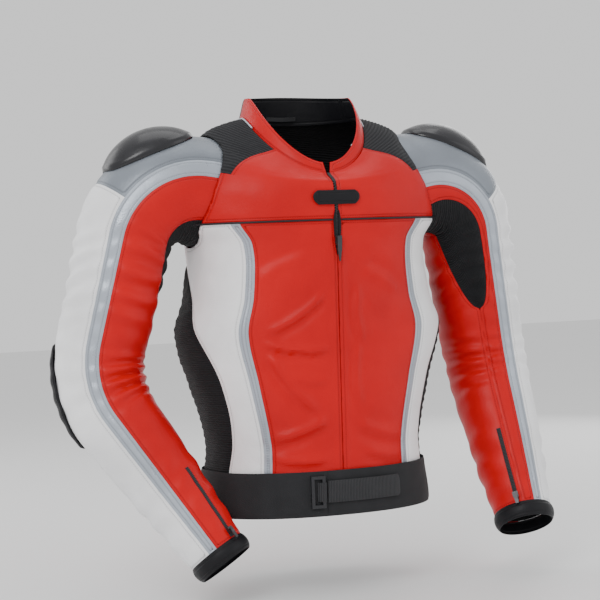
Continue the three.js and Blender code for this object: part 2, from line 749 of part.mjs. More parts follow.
buckle.translate(buckleNormal.x * buckleProud, buckleNormal.y * buckleProud, 0);
addPiece("belt_loop_buckle", buckle, "metal");

// ---------- sleeves ----------
const skin = { inner: -LEATHER, outer: 0 };

function buildSleeve(name) {
  const sleeve = makeSleeve(name);
  const { spec, surface, elbowAt, end, radiusAt } = sleeve;
  // Lines along the sleeve, as angles from its outer line.
  const stripeFront = () => spec.stripe + 9;
  const stripeOuter = () => spec.stripe - 9;
  const backSeam = () => spec.backSeam;
  const capEnd = SHOULDER_PANEL_LENGTH;
  const foldStart = elbowAt - ELBOW_FOLD;
  const foldEnd = elbowAt + ELBOW_FOLD;
  const cuffStart = end - CUFF_WIDTH;
  const gap = (at) => degrees(SEAM / 2 / radiusAt(at));

  // Every panel of a sleeve takes its rows from one list, so that neighbours have the same border line.
  const grid = [
    ...rowsFrom(ROOT_END, capEnd, 22),
    ...rowsFrom(capEnd, foldStart, 34).slice(1),
    ...rowsFrom(foldEnd, cuffStart, 34),
  ];
  const rowsBetween = (start, stop) => {
    const inside = grid.filter((at) => at > start + 2 && at < stop - 2);
    return [start + SEAM / 2, ...inside, stop - SEAM / 2];
  };
  const piece = (label, geometry, colour) => addPiece(`${name}_${label}`, geometry, colour);
  const panel = (label, colour, start, stop, from, to, across, offsets = skin) =>
    piece(
      label,
      sheet(surface, {
        rows: rowsBetween(start, stop),
        left: (at) => from(at) + gap(at),
        right: (at) => to(at) - gap(at),
        across,
        ...offsets,
      }),
      colour,
    );

  panel("shoulder_panel", "grey", ROOT_END, capEnd, backSeam, stripeOuter, 6);
  panel("upper_outer_panel", "white", capEnd, foldStart, backSeam, stripeOuter, 6);
  panel("upper_stripe", "silver", ROOT_END, foldStart, stripeOuter, stripeFront, 1);

  // The stretch gusset is a ring through the armhole with a pointed tongue down the inside of the arm.
  const ring = sheet(surface, {
    rows: [-SLEEVE_ROOT, -SLEEVE_ROOT / 2, 0, ROOT_END - 2 * SEAM],
    across: 24,
    ring: true,
    ...skin,
  });
  const tongueShape = (room, stop, offsets) => {
    const half = (at) => GUSSET.halfAngle * Math.sqrt(Math.max(0, 1 - (at / GUSSET.length) ** 2));
    const middle = (at) => THREE.MathUtils.lerp(...spec.gusset, Math.min(1, at / GUSSET.length));
    return sheet(surface, {
      rows: rowsFrom(0, stop, 20),
      left: (at) => middle(at) - half(Math.min(at, GUSSET.length - 6)) - room * gap(at),
      right: (at) => middle(at) + half(Math.min(at, GUSSET.length - 6)) + room * gap(at),
      across: 4,
      ...offsets,
    });
  };
  const tongue = tongueShape(0, GUSSET.length, { inner: 0.7 - LEATHER, outer: -0.7 });
  const notch = tongueShape(5, GUSSET.length + 2 * SEAM, { inner: -LEATHER - 6, outer: 6 });
  piece("underarm_stretch", toGeometry(biggest(toSolid(ring).add(toSolid(tongue)))), "stretch");
  const upperInner = sheet(surface, {
    rows: rowsBetween(ROOT_END, foldStart),
    left: (at) => stripeFront() + gap(at),
    right: (at) => 360 + backSeam() - gap(at),
    across: 9,
    ...skin,
  });
  const notched = toSolid(upperInner).subtract(toSolid(notch));
  piece("upper_inner_panel", toGeometry(biggest(notched)), "red");

  piece(
    "elbow_fold",
    sheet(surface, {
      rows: rowsFrom(foldStart + SEAM / 2, foldEnd - SEAM / 2, 16),
      across: 16,
      ring: true,
      ...skin,
    }),
    "white",
  );
  panel("forearm_outer_panel", "white", foldEnd, cuffStart, backSeam, stripeOuter, 5);
  panel("forearm_stripe", "silver", foldEnd, cuffStart, stripeOuter, stripeFront, 1);
  const zipFrom = (at) => spec.zip - degrees(4.2 / radiusAt(at));
  const zipTo = (at) => spec.zip + degrees(4.2 / radiusAt(at));
  const zipTop = cuffStart - CUFF_ZIP_LENGTH;
  const forearm = toSolid(
    sheet(surface, {
      rows: rowsBetween(foldEnd, cuffStart),
      left: (at) => stripeFront() + gap(at),
      right: (at) => 360 + backSeam() - gap(at),
      across: 8,
      ...skin,
    }),
  );
  const zipSlot = toSolid(
    sheet(surface, {
      rows: rowsFrom(zipTop - SEAM / 2, cuffStart + 5, 28),
      left: (at) => zipFrom(at) - gap(at),
      right: (at) => zipTo(at) + gap(at),
      across: 1,
      inner: -LEATHER - 6,
      outer: 6,
    }),
  );
  piece("forearm_inner_panel", toGeometry(biggest(forearm.subtract(zipSlot))), "red");
  piece(
    "cuff_zip_chain",
    sheet(surface, {
      rows: rowsFrom(zipTop + SEAM / 2, cuffStart - SEAM, 28),
      left: zipFrom,
      right: zipTo,
      across: 1,
      inner: -LEATHER + 0.6,
      outer: -0.4,
    }),
    "webbing",
  );
  piece(
    "cuff_band",
    sheet(surface, {
      rows: [cuffStart + SEAM / 2, cuffStart + CUFF_WIDTH / 2, end - 0.4],
      across: 20,
      ring: true,
      inner: -LEATHER,
      outer: 1.2,
    }),
    "black",
  );

  // Hard cup on the shoulder and padded patch on the elbow: domes lying just over the leather.
  const dome = (low, height) => (i, j) =>
    low + height * Math.sqrt(Math.max(0, Math.sin(Math.PI * i) * Math.sin(Math.PI * j)));
  const oval = (start, stop, centre, half) => {
    const share = (at) => (2 * (at - start)) / (stop - start) - 1;
    const width = (at) => half * (0.3 + 0.7 * Math.sqrt(Math.max(0, 1 - share(at) ** 2)));
    return {
      rows: rowsFrom(start, stop, (stop - start) / 8),
      left: (at) => centre - width(at),
      right: (at) => centre + width(at),
      across: 8,
    };
  };
  piece(
    "shoulder_cup",
    sheet(surface, {
      ...oval(ROOT_END + 6, capEnd - 12, -4, 42),
      inner: 2 * LAYER,
      outer: dome(2 * LAYER + 2, CUP_HEIGHT),
    }),
    "cup",
  );
  const padHalf = ELBOW_FOLD - 12;
  piece(
    "elbow_pad",
    sheet(surface, {
      ...oval(elbowAt - padHalf + 8, elbowAt + padHalf, spec.elbowPad, 36),
      inner: 2 * LAYER,
      outer: dome(2 * LAYER + 1.6, ELBOW_PAD_HEIGHT),
    }),
    "black",
  );

  // Cuff zip slider and its pull, at the closed end of the zip.
  const sliderAt = cuffStart - 10;
  const seat = surface(spec.zip, sliderAt);
  const normal = normalOf(surface, spec.zip, sliderAt, mean(surface, sliderAt));
  const upSleeve = surface(spec.zip, zipTop).sub(seat).normalize();
  const sideways = new THREE.Vector3().crossVectors(normal.clone().negate(), upSleeve).normalize();
  const outward = new THREE.Vector3().crossVectors(sideways, upSleeve).normalize();
  const onCuff = new THREE.Matrix4().makeBasis(sideways, outward.clone().negate(), upSleeve);
  const place = (geometry, proud, shift) =>
    geometry
      .translate(0, -proud, shift)
      .applyMatrix4(onCuff)
      .translate(seat.x, seat.y, seat.z);
  const sliderProud = 2.4;
  const { width, height, depth } = CUFF_SLIDER;
  piece(
    "cuff_zip_slider",
    place(bevelledBlock(width, depth, height), sliderProud + depth / 2, 0),
    "metal",
  );
  const pull = bevelledBlock(CUFF_PULL.width, CUFF_PULL.thickness, CUFF_PULL.length);
  piece(
    "cuff_zip_pull",
    place(pull, sliderProud + depth + 0.5 + CUFF_PULL.thickness / 2, 2 - CUFF_PULL.length / 2),
    "metal",
  );
}

buildSleeve("right");
buildSleeve("left");

jacket.position.set(0, -ORIGIN.back, -ORIGIN.height);

export default jacket;
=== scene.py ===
# Visual model of the panelled leather riding jacket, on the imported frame. Blender works in metres;
# the shapes below are written in millimetres up from the hem and moved to the frame at the end.
import math

import bpy
import numpy as np
from mathutils import Matrix, Vector


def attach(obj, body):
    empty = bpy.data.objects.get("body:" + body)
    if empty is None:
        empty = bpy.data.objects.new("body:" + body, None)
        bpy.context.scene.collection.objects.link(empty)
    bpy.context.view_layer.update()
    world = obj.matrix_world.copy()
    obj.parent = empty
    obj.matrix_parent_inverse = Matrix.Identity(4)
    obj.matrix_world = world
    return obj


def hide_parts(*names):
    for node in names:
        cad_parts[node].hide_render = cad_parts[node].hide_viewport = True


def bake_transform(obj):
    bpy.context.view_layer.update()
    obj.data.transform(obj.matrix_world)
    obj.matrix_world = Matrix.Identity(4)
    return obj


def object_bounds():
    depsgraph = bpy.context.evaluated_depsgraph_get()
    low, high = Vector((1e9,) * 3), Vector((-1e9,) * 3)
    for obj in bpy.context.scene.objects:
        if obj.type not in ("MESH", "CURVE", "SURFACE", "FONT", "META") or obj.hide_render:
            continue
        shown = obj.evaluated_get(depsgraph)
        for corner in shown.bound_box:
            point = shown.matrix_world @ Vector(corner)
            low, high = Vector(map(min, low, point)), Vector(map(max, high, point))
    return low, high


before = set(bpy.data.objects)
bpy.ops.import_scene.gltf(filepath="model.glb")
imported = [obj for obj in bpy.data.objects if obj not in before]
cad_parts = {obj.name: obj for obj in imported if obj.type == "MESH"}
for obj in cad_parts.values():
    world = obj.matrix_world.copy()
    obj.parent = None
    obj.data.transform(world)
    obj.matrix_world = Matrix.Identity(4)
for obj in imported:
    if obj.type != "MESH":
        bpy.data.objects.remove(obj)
cad_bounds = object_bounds()
scene = bpy.context.scene

HEM_TO_FRAME = np.array([0.0, -69.5, -552.4])
rad = np.radians

# Levels of the trunk's seams, in millimetres above the hem
PANEL_FOOT, LUMBAR_TOP, ARMHOLE_FOOT = 1, 112, 345
FRONT_TOP, YOKE_FOOT, YOKE_TOP, NECKLINE = 400, 401, 470, 640
NO_EDGE = 60.0  # distance from a border that is far enough to have no effect
SHARP_ANGLE = 52


def to_frame(points):
    return (np.asarray(points, float) + HEM_TO_FRAME) / 1000


# ---------- camera, light and backdrop ----------
AZIMUTH, ELEVATION, DISTANCE = math.radians(-21), math.radians(1.5), 2.55
TARGET = Vector((-0.012, -0.075, -0.262))
back = Vector((
    math.sin(AZIMUTH) * math.cos(ELEVATION),
    -math.cos(AZIMUTH) * math.cos(ELEVATION),
    math.sin(ELEVATION),
))
camera = bpy.data.objects.new("camera", bpy.data.cameras.new("camera"))
scene.collection.objects.link(camera)
camera.location = TARGET + back * DISTANCE
camera.rotation_mode = "QUATERNION"
roll = Matrix.Rotation(math.radians(-2.2), 4, back)
camera.rotation_quaternion = (roll @ (-back).to_track_quat("-Z", "Y").to_matrix().to_4x4()).to_quaternion()
camera.data.lens = 108
camera.data.clip_end = 50
scene.camera = camera

world = bpy.data.worlds.new("studio")
scene.world = world
world.use_nodes = True
world.node_tree.nodes["Background"].inputs[0].default_value = (1, 1, 1, 1)
world.node_tree.nodes["Background"].inputs[1].default_value = 0.95


def area_light(name, place, power, size, aim=(0, -0.07, -0.28)):
    lamp = bpy.data.objects.new(name, bpy.data.lights.new(name, "AREA"))
    scene.collection.objects.link(lamp)
    lamp.location = place
    way = Vector(aim) - Vector(place)
    lamp.rotation_mode = "QUATERNION"
    lamp.rotation_quaternion = way.to_track_quat("-Z", "Y")
    lamp.data.energy = power
    lamp.data.shape = "RECTANGLE"
    lamp.data.size, lamp.data.size_y = size


area_light("key", (-1.6, -1.9, 1.3), 32, (1.1, 1.6))
area_light("fill", (1.9, -1.5, 0.3), 6, (1.4, 1.8))
area_light("top", (0.1, 0.2, 1.7), 8, (1.6, 1.2))
area_light("back_left", (-1.4, 1.5, 0.5), 10, (1.0, 1.6))
area_light("back_right", (1.5, 1.4, 0.4), 10, (1.0, 1.6))

# ---------- materials ----------


class Graph:
    """Short names for building a node material."""

    def __init__(self, name):
        self.material = bpy.data.materials.new(name)
        self.material.use_nodes = True
        self.tree = self.material.node_tree
        self.shader = self.tree.nodes["Principled BSDF"]
        self.place = self.add("ShaderNodeTexCoord").outputs["Object"]

    def add(self, kind, **settings):
        node = self.tree.nodes.new(kind)
        for key, value in settings.items():
            setattr(node, key, value)
        return node

    def put(self, socket, value):
        if hasattr(value, "is_output"):
            self.tree.links.new(value, socket)
        else:
            socket.default_value = value

    def math(self, operation, *values):
        node = self.add("ShaderNodeMath", operation=operation)
        for socket, value in zip(node.inputs, values):
            self.put(socket, value)
        return node.outputs[0]

    def noise(self, scale, detail=3.0, rough=0.55):
        node = self.add("ShaderNodeTexNoise")
        self.put(node.inputs["Vector"], self.place)
        self.put(node.inputs["Scale"], scale)
        self.put(node.inputs["Detail"], detail)
        self.put(node.inputs["Roughness"], rough)
        return node.outputs["Fac"]

    def cells(self, scale, feature="F1"):
        node = self.add("ShaderNodeTexVoronoi", feature=feature)
        self.put(node.inputs["Vector"], self.place)
        self.put(node.inputs["Scale"], scale)
        return node.outputs["Distance"]

    def spread(self, value, low, high, to_low=0.0, to_high=1.0):
        node = self.add("ShaderNodeMapRange")
        keys = ("Value", "From Min", "From Max", "To Min", "To Max")
        for key, item in zip(keys, (value, low, high, to_low, to_high)):
            self.put(node.inputs[key], item)
        return node.outputs["Result"]

    def mix(self, share, a, b):
        node = self.add("ShaderNodeMix", data_type="RGBA")
        self.put(node.inputs[0], share)
        self.put(node.inputs[6], a)
        self.put(node.inputs[7], b)
        return node.outputs[2]

    def bump(self, height, distance, strength=1.0, below=None):
        node = self.add("ShaderNodeBump")
        self.put(node.inputs["Height"], height)
        self.put(node.inputs["Distance"], distance)
        self.put(node.inputs["Strength"], strength)
        if below is not None:
            self.put(node.inputs["Normal"], below)
        return node.outputs["Normal"]

    def attribute(self, name):
        return self.add("ShaderNodeAttribute", attribute_name=name).outputs["Fac"]

    def finish(self, **values):
        for key, value in values.items():
            self.put(self.shader.inputs[key.replace("_", " ")], value)
        return self.material


def rgba(colour, times=1.0):
    return (*[min(1.0, c * times) for c in colour], 1.0)


def leather(name, colour, roughness=0.42, metallic=0.0, stitched=True, seam_shade_depth=0.5):
    g = Graph(name)
    tone = g.spread(g.noise(9.0), 0.3, 0.7, 0.0, 1.0)
    base = g.mix(tone, rgba(colour, 0.86), rgba(colour, 1.06))
    pores = g.cells(760.0, "F1")
    base = g.mix(g.spread(pores, 0.0, 0.35, 0.16, 0.0), base, rgba(colour, 0.45))
    edge, run = g.attribute("edge"), g.attribute("run")
    # Painted shade: the colour darkens towards each seam, within about 2 mm of it, in patches broken up by
    # noise.
    painted_seam_shade = g.math("MULTIPLY", g.spread(edge, 0.0, 2.2, seam_shade_depth, 0.0), g.spread(g.noise(70.0), 0.45, 0.7))
    base = g.mix(painted_seam_shade, base, rgba(colour, 0.35))
    normal = g.bump(pores, 0.00028, 0.5)
    normal = g.bump(g.noise(150.0, 4.0), 0.0009, 0.35, normal)
    normal = g.bump(g.noise(34.0, 3.0), 0.003, 0.22, normal)
    if stitched:
        off = g.math("ABSOLUTE", g.math("SUBTRACT", edge, 4.2))
        dash = g.math("LESS_THAN", g.math("FRACT", g.math("DIVIDE", run, 3.4)), 0.68)
        thread = g.math("MULTIPLY", g.spread(off, 0.25, 0.6, 1.0, 0.0), dash)
        base = g.mix(g.math("MULTIPLY", thread, 0.75), base, rgba(colour, 0.5))
        normal = g.bump(g.spread(off, 0.2, 1.5, 0.0, 1.0), 0.0009, 0.8, normal)
        normal = g.bump(thread, 0.0006, 0.8, normal)
    rough = g.spread(g.noise(26.0, 4.0), 0.3, 0.7, roughness - 0.07, roughness + 0.1)
    return g.finish(Base_Color=base, Roughness=rough, Metallic=metallic, Normal=normal,
                    Specular_IOR_Level=0.2, Coat_Weight=0.04, Coat_Roughness=0.25)


def fabric(name, colour, pitch, ribbed=True, depth=0.0006):
    """Woven or knitted cloth with ribs across its run, drawn from the run and edge attributes."""
    g = Graph(name)
    rib = g.attribute("rib")
    wave = g.math("SINE", g.math("MULTIPLY", rib, 2 * math.pi / pitch))
    weave = g.cells(1150.0)
    # Painted light and shade: the rib crests are lightened and the hollows between them darkened in the
    # colour itself, on top of the bump.
    painted_rib_shade = g.spread(wave, -1.0, 1.0, 0.0, 0.75 if ribbed else 0.25)
    base = g.mix(painted_rib_shade, rgba(colour, 0.55), rgba(colour, 1.6))
    base = g.mix(g.spread(g.noise(40.0), 0.35, 0.7, 0.0, 0.2), base, rgba(colour, 1.5))
    normal = g.bump(weave, 0.0004, 0.6)
    if ribbed:
        normal = g.bump(wave, depth, 0.8, normal)
    return g.finish(Base_Color=base, Roughness=0.85, Normal=normal,
                    Specular_IOR_Level=0.25, Sheen_Weight=0.05)


def hard(name, colour, roughness, metallic=0.0, coat=0.4):
    g = Graph(name)
    scuff = g.spread(g.noise(120.0, 5.0), 0.55, 0.75)
    base = g.mix(g.math("MULTIPLY", scuff, 0.4), rgba(colour), rgba(colour, 2.4))
    rough = g.spread(g.noise(45.0, 4.0), 0.3, 0.75, roughness * 0.8, roughness * 1.5)
    normal = g.bump(g.noise(420.0, 2.0), 0.0002, 0.4)
    return g.finish(Base_Color=base, Roughness=rough, Metallic=metallic, Coat_Weight=coat, Normal=normal)


MATERIALS = {
    "red_leather": leather("red_leather", (0.58, 0.001, 0.004), 0.4),
    "white_leather": leather("white_leather", (0.93, 0.93, 0.94), 0.44, seam_shade_depth=0.25),
    "silver_leather": leather("silver_leather", (0.43, 0.47, 0.53), 0.32, 0.45, seam_shade_depth=0.3),
    "grey_leather": leather("grey_leather", (0.23, 0.255, 0.29), 0.34, 0.35, seam_shade_depth=0.3),
    "black_leather": leather("black_leather", (0.008, 0.008, 0.01), 0.46, seam_shade_depth=0.2),
    "stretch_fabric": fabric("stretch_fabric", (0.009, 0.0095, 0.011), 3.2),
    "shoulder_ribs": fabric("shoulder_ribs", (0.02, 0.0205, 0.023), 5.2, True, 0.0003),
    "webbing": fabric("webbing", (0.032, 0.0325, 0.035), 2.2, True, 0.0003),
    "belt_cloth": fabric("belt_cloth", (0.026, 0.0265, 0.029), 1.6, False),
    "hard_cup": hard("hard_cup", (0.006, 0.006, 0.009), 0.26, 0.0, 0.12),
    "mesh_lining": fabric("mesh_lining", (0.007, 0.007, 0.008), 4.0),
    "foam": hard("foam", (0.045, 0.046, 0.05), 0.75, 0.0, 0.0),
    "zip_metal": hard("zip_metal", (0.07, 0.07, 0.075), 0.32, 0.9, 0.1),
    "piping": leather("piping", (0.02, 0.02, 0.023), 0.4, stitched=False),
    "pale_piping": leather("pale_piping", (0.45, 0.48, 0.52), 0.35, 0.3, stitched=False),
}

# ---------- smooth curves and the trunk surface ----------


def smooth(xs, ys, x):
    """Smooth curve through the points, with each slope taken across its two neighbours."""
    xs, ys, x = np.asarray(xs, float), np.asarray(ys, float), np.asarray(x, float)
    slope = np.gradient(ys, xs) if len(xs) < 3 else np.concatenate((
        [(ys[1] - ys[0]) / (xs[1] - xs[0])],
        (ys[2:] - ys[:-2]) / (xs[2:] - xs[:-2]),
        [(ys[-1] - ys[-2]) / (xs[-1] - xs[-2])],
    ))
    k = np.clip(np.searchsorted(xs, x, side="left") - 1, 0, len(xs) - 2)
    span = xs[k + 1] - xs[k]
    t = (x - xs[k]) / span
    s = 1 - t
    ends = ys[k] * s * s * (1 + 2 * t) + ys[k + 1] * t * t * (1 + 2 * s)
    return ends + span * t * s * (slope[k] * s - slope[k + 1] * t)


HOLE = {"x": 158.0, "y": 1.0, "z": 447.0, "radius": 77.0, "tilt": rad(-10.7)}
HOLE_GAP = 1.6  # between the sleeve's root and the panels cut around it
CUT_FROM, CUT_TO = -46.0, 150.0
NO_HOLE = 99.0
TIP = (
    HOLE["x"] + HOLE["radius"] * math.sin(HOLE["tilt"]),
    HOLE["z"] + HOLE["radius"] * math.cos(HOLE["tilt"]),
)


def depth_at(height):
    return 114.5 + 0.0294 * height


# level, half width, front depth, back depth, then the heights of its side, front and back
STATIONS = [
    (0, 163, depth_at(0), 106, 0, 0, 0),
    (60, 157, depth_at(60), 98, 60, 60, 60),
    (100, 156, depth_at(100), 97, 100, 100, 100),
    (180, 176, depth_at(180), 108, 180, 180, 180),
    (250, 194, depth_at(250), 116, 250, 250, 250),
    (300, 178, depth_at(300), 122, 300, 300, 300),
    (2 * HOLE["z"] - TIP[1], 172, depth_at(2 * HOLE["z"] - TIP[1]), 125, *[2 * HOLE["z"] - TIP[1]] * 3),
    (400, 192, depth_at(400), 126, 400, 400, 400),
    (440, 192, 125.5, 124, 446, 438, 446),
    (470, 176, 122, 121, 486, 452, 476),
    (500, 158, 117, 115, 514, 457, 500),
    (520, TIP[0] - 3, 113, 110, TIP[1] + 6.6, 459, 512),
    (560, 122, 109, 101, 538, 461, 526),
    (600, 102, 105, 92, 544, 463, 538),
    (640, 86, 102, 84, 548, 466, 548),
]
LEVELS, COLUMNS = [s[0] for s in STATIONS], list(zip(*STATIONS))


def on_loop(angle, half, front, depth, side, z_front, z_back):
    sin, cos = np.sin(rad(angle)), np.cos(rad(angle))
    reach = (np.abs(sin) ** 2.25 + np.abs(cos) ** 2.25) ** (-1 / 2.25)
    ahead = cos > 0
    y = -np.where(ahead, front, depth) * reach * cos
    z = side + (np.where(ahead, z_front, z_back) - side) * np.abs(cos) ** 1.4
    return np.stack([half * reach * sin, y, z], -1)


def trunk(angle, at):
    angle, at = np.broadcast_arrays(np.asarray(angle, float), np.asarray(at, float))
    return on_loop(angle, *[smooth(LEVELS, column, at) for column in COLUMNS[1:]])


def collar(angle, share):
    angle, share = np.broadcast_arrays(np.asarray(angle, float), np.asarray(share, float))
    return on_loop(angle, 85 - 8 * share, 101 - 4 * share, 83 - 7 * share,
                   549 + 28 * share, 467 + 13 * share, 549 + 35 * share)


def hole_distance(points):
    """Distance of each point from the axis of the nearer armhole, less the hole's radius."""
    side = np.sign(points[..., 0]) + (points[..., 0] == 0)
    centre = [side * HOLE["x"], np.full_like(side, HOLE["y"]), np.full_like(side, HOLE["z"])]
    rel = points - np.stack(centre, -1)
    fall = np.full_like(side, -math.sin(HOLE["tilt"]))
    axis = np.stack([side * math.cos(HOLE["tilt"]), np.zeros_like(side), fall], -1)
    along = (rel * axis).sum(-1)
    gap = np.linalg.norm(rel - along[..., None] * axis, axis=-1) - HOLE["radius"] - HOLE_GAP
    return np.where(along > CUT_FROM, gap, NO_HOLE)


# ---------- meshes ----------


def ripple(points, size, seed):
    """Smooth, repeatable unevenness of about that size, from -1 to 1."""
    turn = np.random.default_rng(seed)
    total = np.zeros(points.shape[:-1])
    for _ in range(7):
        way = turn.normal(size=3)
        way *= 2 * math.pi / (size * turn.uniform(0.7, 1.6) * np.linalg.norm(way))
        total += np.sin(points @ way + turn.uniform(0, 2 * math.pi))
    return total / 4


def new_object(name, points, faces, inner=None, attributes=None):
    """A mesh whose faces all point outwards: they are turned when its volume comes out negative."""
    points = np.asarray(points, float)
    middle = points.mean(0)
    corners = points[[(f[0], f[i], f[i + 1]) for f in faces for i in range(1, len(f) - 1)]] - middle
    volume = (corners[:, 0] * np.cross(corners[:, 1], corners[:, 2])).sum()
    if volume < 0:
        faces = [list(f)[::-1] for f in faces]
    mesh = bpy.data.meshes.new(name)
    mesh.from_pydata(to_frame(points).tolist(), [], faces)
    for key, values in (attributes or {}).items():
        mesh.attributes.new(key, "FLOAT", "POINT").data.foreach_set("value", np.asarray(values, np.float32))
    if inner is not None:
        mesh.polygons.foreach_set("material_index", np.asarray(inner, np.int32))
    mesh.polygons.foreach_set("use_smooth", [True] * len(faces))
    mesh.update()
    mesh.set_sharp_from_angle(angle=math.radians(SHARP_ANGLE))
    made = bpy.data.objects.new(name, mesh)
    scene.collection.objects.link(made)
    return made


def grid_faces(rows, columns, start=0, flip=False, closed=False):
    j, i = np.meshgrid(np.arange(rows - 1), np.arange(columns if closed else columns - 1), indexing="ij")
    a, b = j * columns + i, j * columns + (i + 1) % columns
    quads = np.stack([a, b, b + columns, a + columns], -1).reshape(-1, 4) + start
    return quads[:, ::-1] if flip else quads


def shell(name, points, normal, offset, thick, materials, closed=False, attributes=None):
    """A closed skin: the grid pushed out by offset, and the same grid set back by thick."""
    rows, columns = points.shape[:2]
    outer = points + normal * offset[..., None]
    back = points + normal * np.minimum(offset - 0.9, -thick)[..., None]
    count = rows * columns
    # Faces turn outwards when the normals agree with the order of the grid.
    sample = np.cross(points[0, 1] - points[0, 0], points[1, 0] - points[0, 0])
    flip = float(sample @ normal[0, 0]) < 0
    faces = [grid_faces(rows, columns, 0, flip, closed), grid_faces(rows, columns, count, not flip, closed)]
    inner = [np.zeros(len(faces[0]), int), np.ones(len(faces[1]), int)]
    grid = np.arange(count).reshape(rows, columns)
    rims = [(grid[0], True), (grid[-1], False)]
    if not closed:
        rims += [(grid[:, 0], False), (grid[:, -1], True)]
    for line, way in rims:
        nxt = np.roll(line, -1) if closed else line[1:]
        line = line if closed else line[:-1]
        quads = np.stack([line, nxt, nxt + count, line + count], -1)
        faces.append(quads if way == flip else quads[:, ::-1])
        inner.append(np.zeros(len(quads), int))
    values = {k: np.concatenate([v.ravel(), v.ravel()]) for k, v in (attributes or {}).items()}
    made = new_object(name, np.concatenate([outer.reshape(-1, 3), back.reshape(-1, 3)]),
                      np.concatenate(faces).tolist(), np.concatenate(inner), values)
    for material in materials:
        made.data.materials.append(MATERIALS[material])
    return made


def lengths(points, axis):
    steps = np.linalg.norm(np.diff(points, axis=axis), axis=-1)
    start = np.zeros_like(np.take(steps, [0], axis))
    return np.concatenate([start, np.cumsum(steps, axis)], axis)


def patch(name, surface, rows, left, right, material, step=4.0, columns=None, lift=0.0, thick=2.6, puff=1.6,
          relief=None, rib_axis="up", lining="mesh_lining", holes=False, closed=False,
          soft_edges="LRBT", thicken=None):
    """One panel of a surface between two borders, with edges that turn down to the seams."""
    at = np.asarray(rows, float)
    a = np.broadcast_to(left(at) if callable(left) else left, at.shape).astype(float)
    b = np.broadcast_to(right(at) if callable(right) else right, at.shape).astype(float)
    if columns is None:
        middle = len(at) // 2
        spans = [np.linalg.norm(np.diff(surface(np.linspace(a[m], b[m], 24), at[m]), axis=0), axis=-1).sum()
                 for m in (0, middle, len(at) - 1)]
        columns = max(4, int(max(spans) / step) + 1)
    share = np.linspace(0, 1, columns, endpoint=not closed)
    angle = a[:, None] + (b - a)[:, None] * share[None, :]
    place = surface(angle, at[:, None])
    eps = 0.35
    across = surface(angle + eps, at[:, None]) - surface(angle - eps, at[:, None])
    span = (at[-1] - at[0]) * 1e-3
    up = surface(angle, at[:, None] + span) - surface(angle, at[:, None] - span)
    normal = np.cross(across, up)
    normal /= np.linalg.norm(normal, axis=-1, keepdims=True) + 1e-12
    full = surface(np.linspace(0, 360, 24, endpoint=False)[None, :], at[:, None]).mean(1)
    facing = ((place - full[:, None, :]) * normal).sum(-1)
    normal *= np.where(np.median(facing) < 0, -1.0, 1.0)
    along, over = lengths(place, 1), lengths(place, 0)
    edges = {"L": along, "R": along[:, -1:] - along, "B": over, "T": over[-1:] - over}
    edge = np.full(place.shape[:2], NO_EDGE)
    for key in soft_edges:
        if not (closed and key in "LR"):
            edge = np.minimum(edge, edges[key])
    side_first = np.minimum(edges["L"], edges["R"]) <= np.minimum(edges["B"], edges["T"])
    run = np.where(side_first, over, along)
    if holes:
        gap = hole_distance(place)
        edge = np.minimum(edge, np.abs(gap))
    offset = lift + puff * (1 - np.exp(-edge / 3.2)) - puff
    if relief is not None:
        offset = offset + relief(place, angle, at[:, None], edge)
    if thicken is not None:
        offset = offset + thicken(share[None, :], ((at - at[0]) / (at[-1] - at[0]))[:, None])
    marks = {"edge": edge, "run": run, "rib": along if rib_axis == "across" else over}
    made = shell(name, place, normal, offset, thick - lift, [material, lining], closed, marks)
    if holes:
        cut_holes(made)
    return made


cutters = []


def make_cutter(side):
    """A round bar through one armhole, which is cut from the trunk's panels."""
    count = 96
    turn = np.linspace(0, 2 * math.pi, count, endpoint=False)
    tilt, r = HOLE["tilt"], HOLE["radius"] + HOLE_GAP
    axis = np.array([side * math.cos(tilt), 0, -math.sin(tilt)])
    up = np.array([side * math.sin(tilt), 0, math.cos(tilt)])
    front = np.array([0, 1.0, 0])
    centre = np.array([side * HOLE["x"], HOLE["y"], HOLE["z"]])
    rim = r * (np.cos(turn)[:, None] * up + np.sin(turn)[:, None] * front)
    rings = [centre + axis * t + rim for t in (CUT_FROM, CUT_TO)]
    faces = [[i, (i + 1) % count, (i + 1) % count + count, i + count] for i in range(count)]
    faces += [list(range(count)), list(range(2 * count - 1, count - 1, -1))]
    made = new_object("cutter", np.concatenate(rings), faces)
    made.hide_render = made.hide_viewport = True
    return made


def cut_holes(made):
    if not cutters:
        cutters.extend([make_cutter(-1), make_cutter(1)])
    low = min(v.co.x for v in made.data.vertices)
    high = max(v.co.x for v in made.data.vertices)
    for side, cutter in zip((-1, 1), cutters):
        if (side < 0 and low < -0.09) or (side > 0 and high > 0.09):
            tool = made.modifiers.new("armhole", "BOOLEAN")
            tool.operation, tool.solver, tool.object = "DIFFERENCE", "EXACT", cutter
    graph = bpy.context.evaluated_depsgraph_get()
    baked = bpy.data.meshes.new_from_object(made.evaluated_get(graph))
    made.modifiers.clear()
    old, made.data = made.data, baked
    bpy.data.meshes.remove(old)


def line(corners, gentle=True):
    xs, ys = [c[0] for c in corners], [c[1] for c in corners]
    return (lambda at: smooth(xs, ys, at)) if gentle else (lambda at: np.interp(at, xs, ys))


def finish_piece(made, nodes=(), body="trunk"):
    if nodes:
        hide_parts(*nodes)
    if body:
        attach(made, body)
    return made


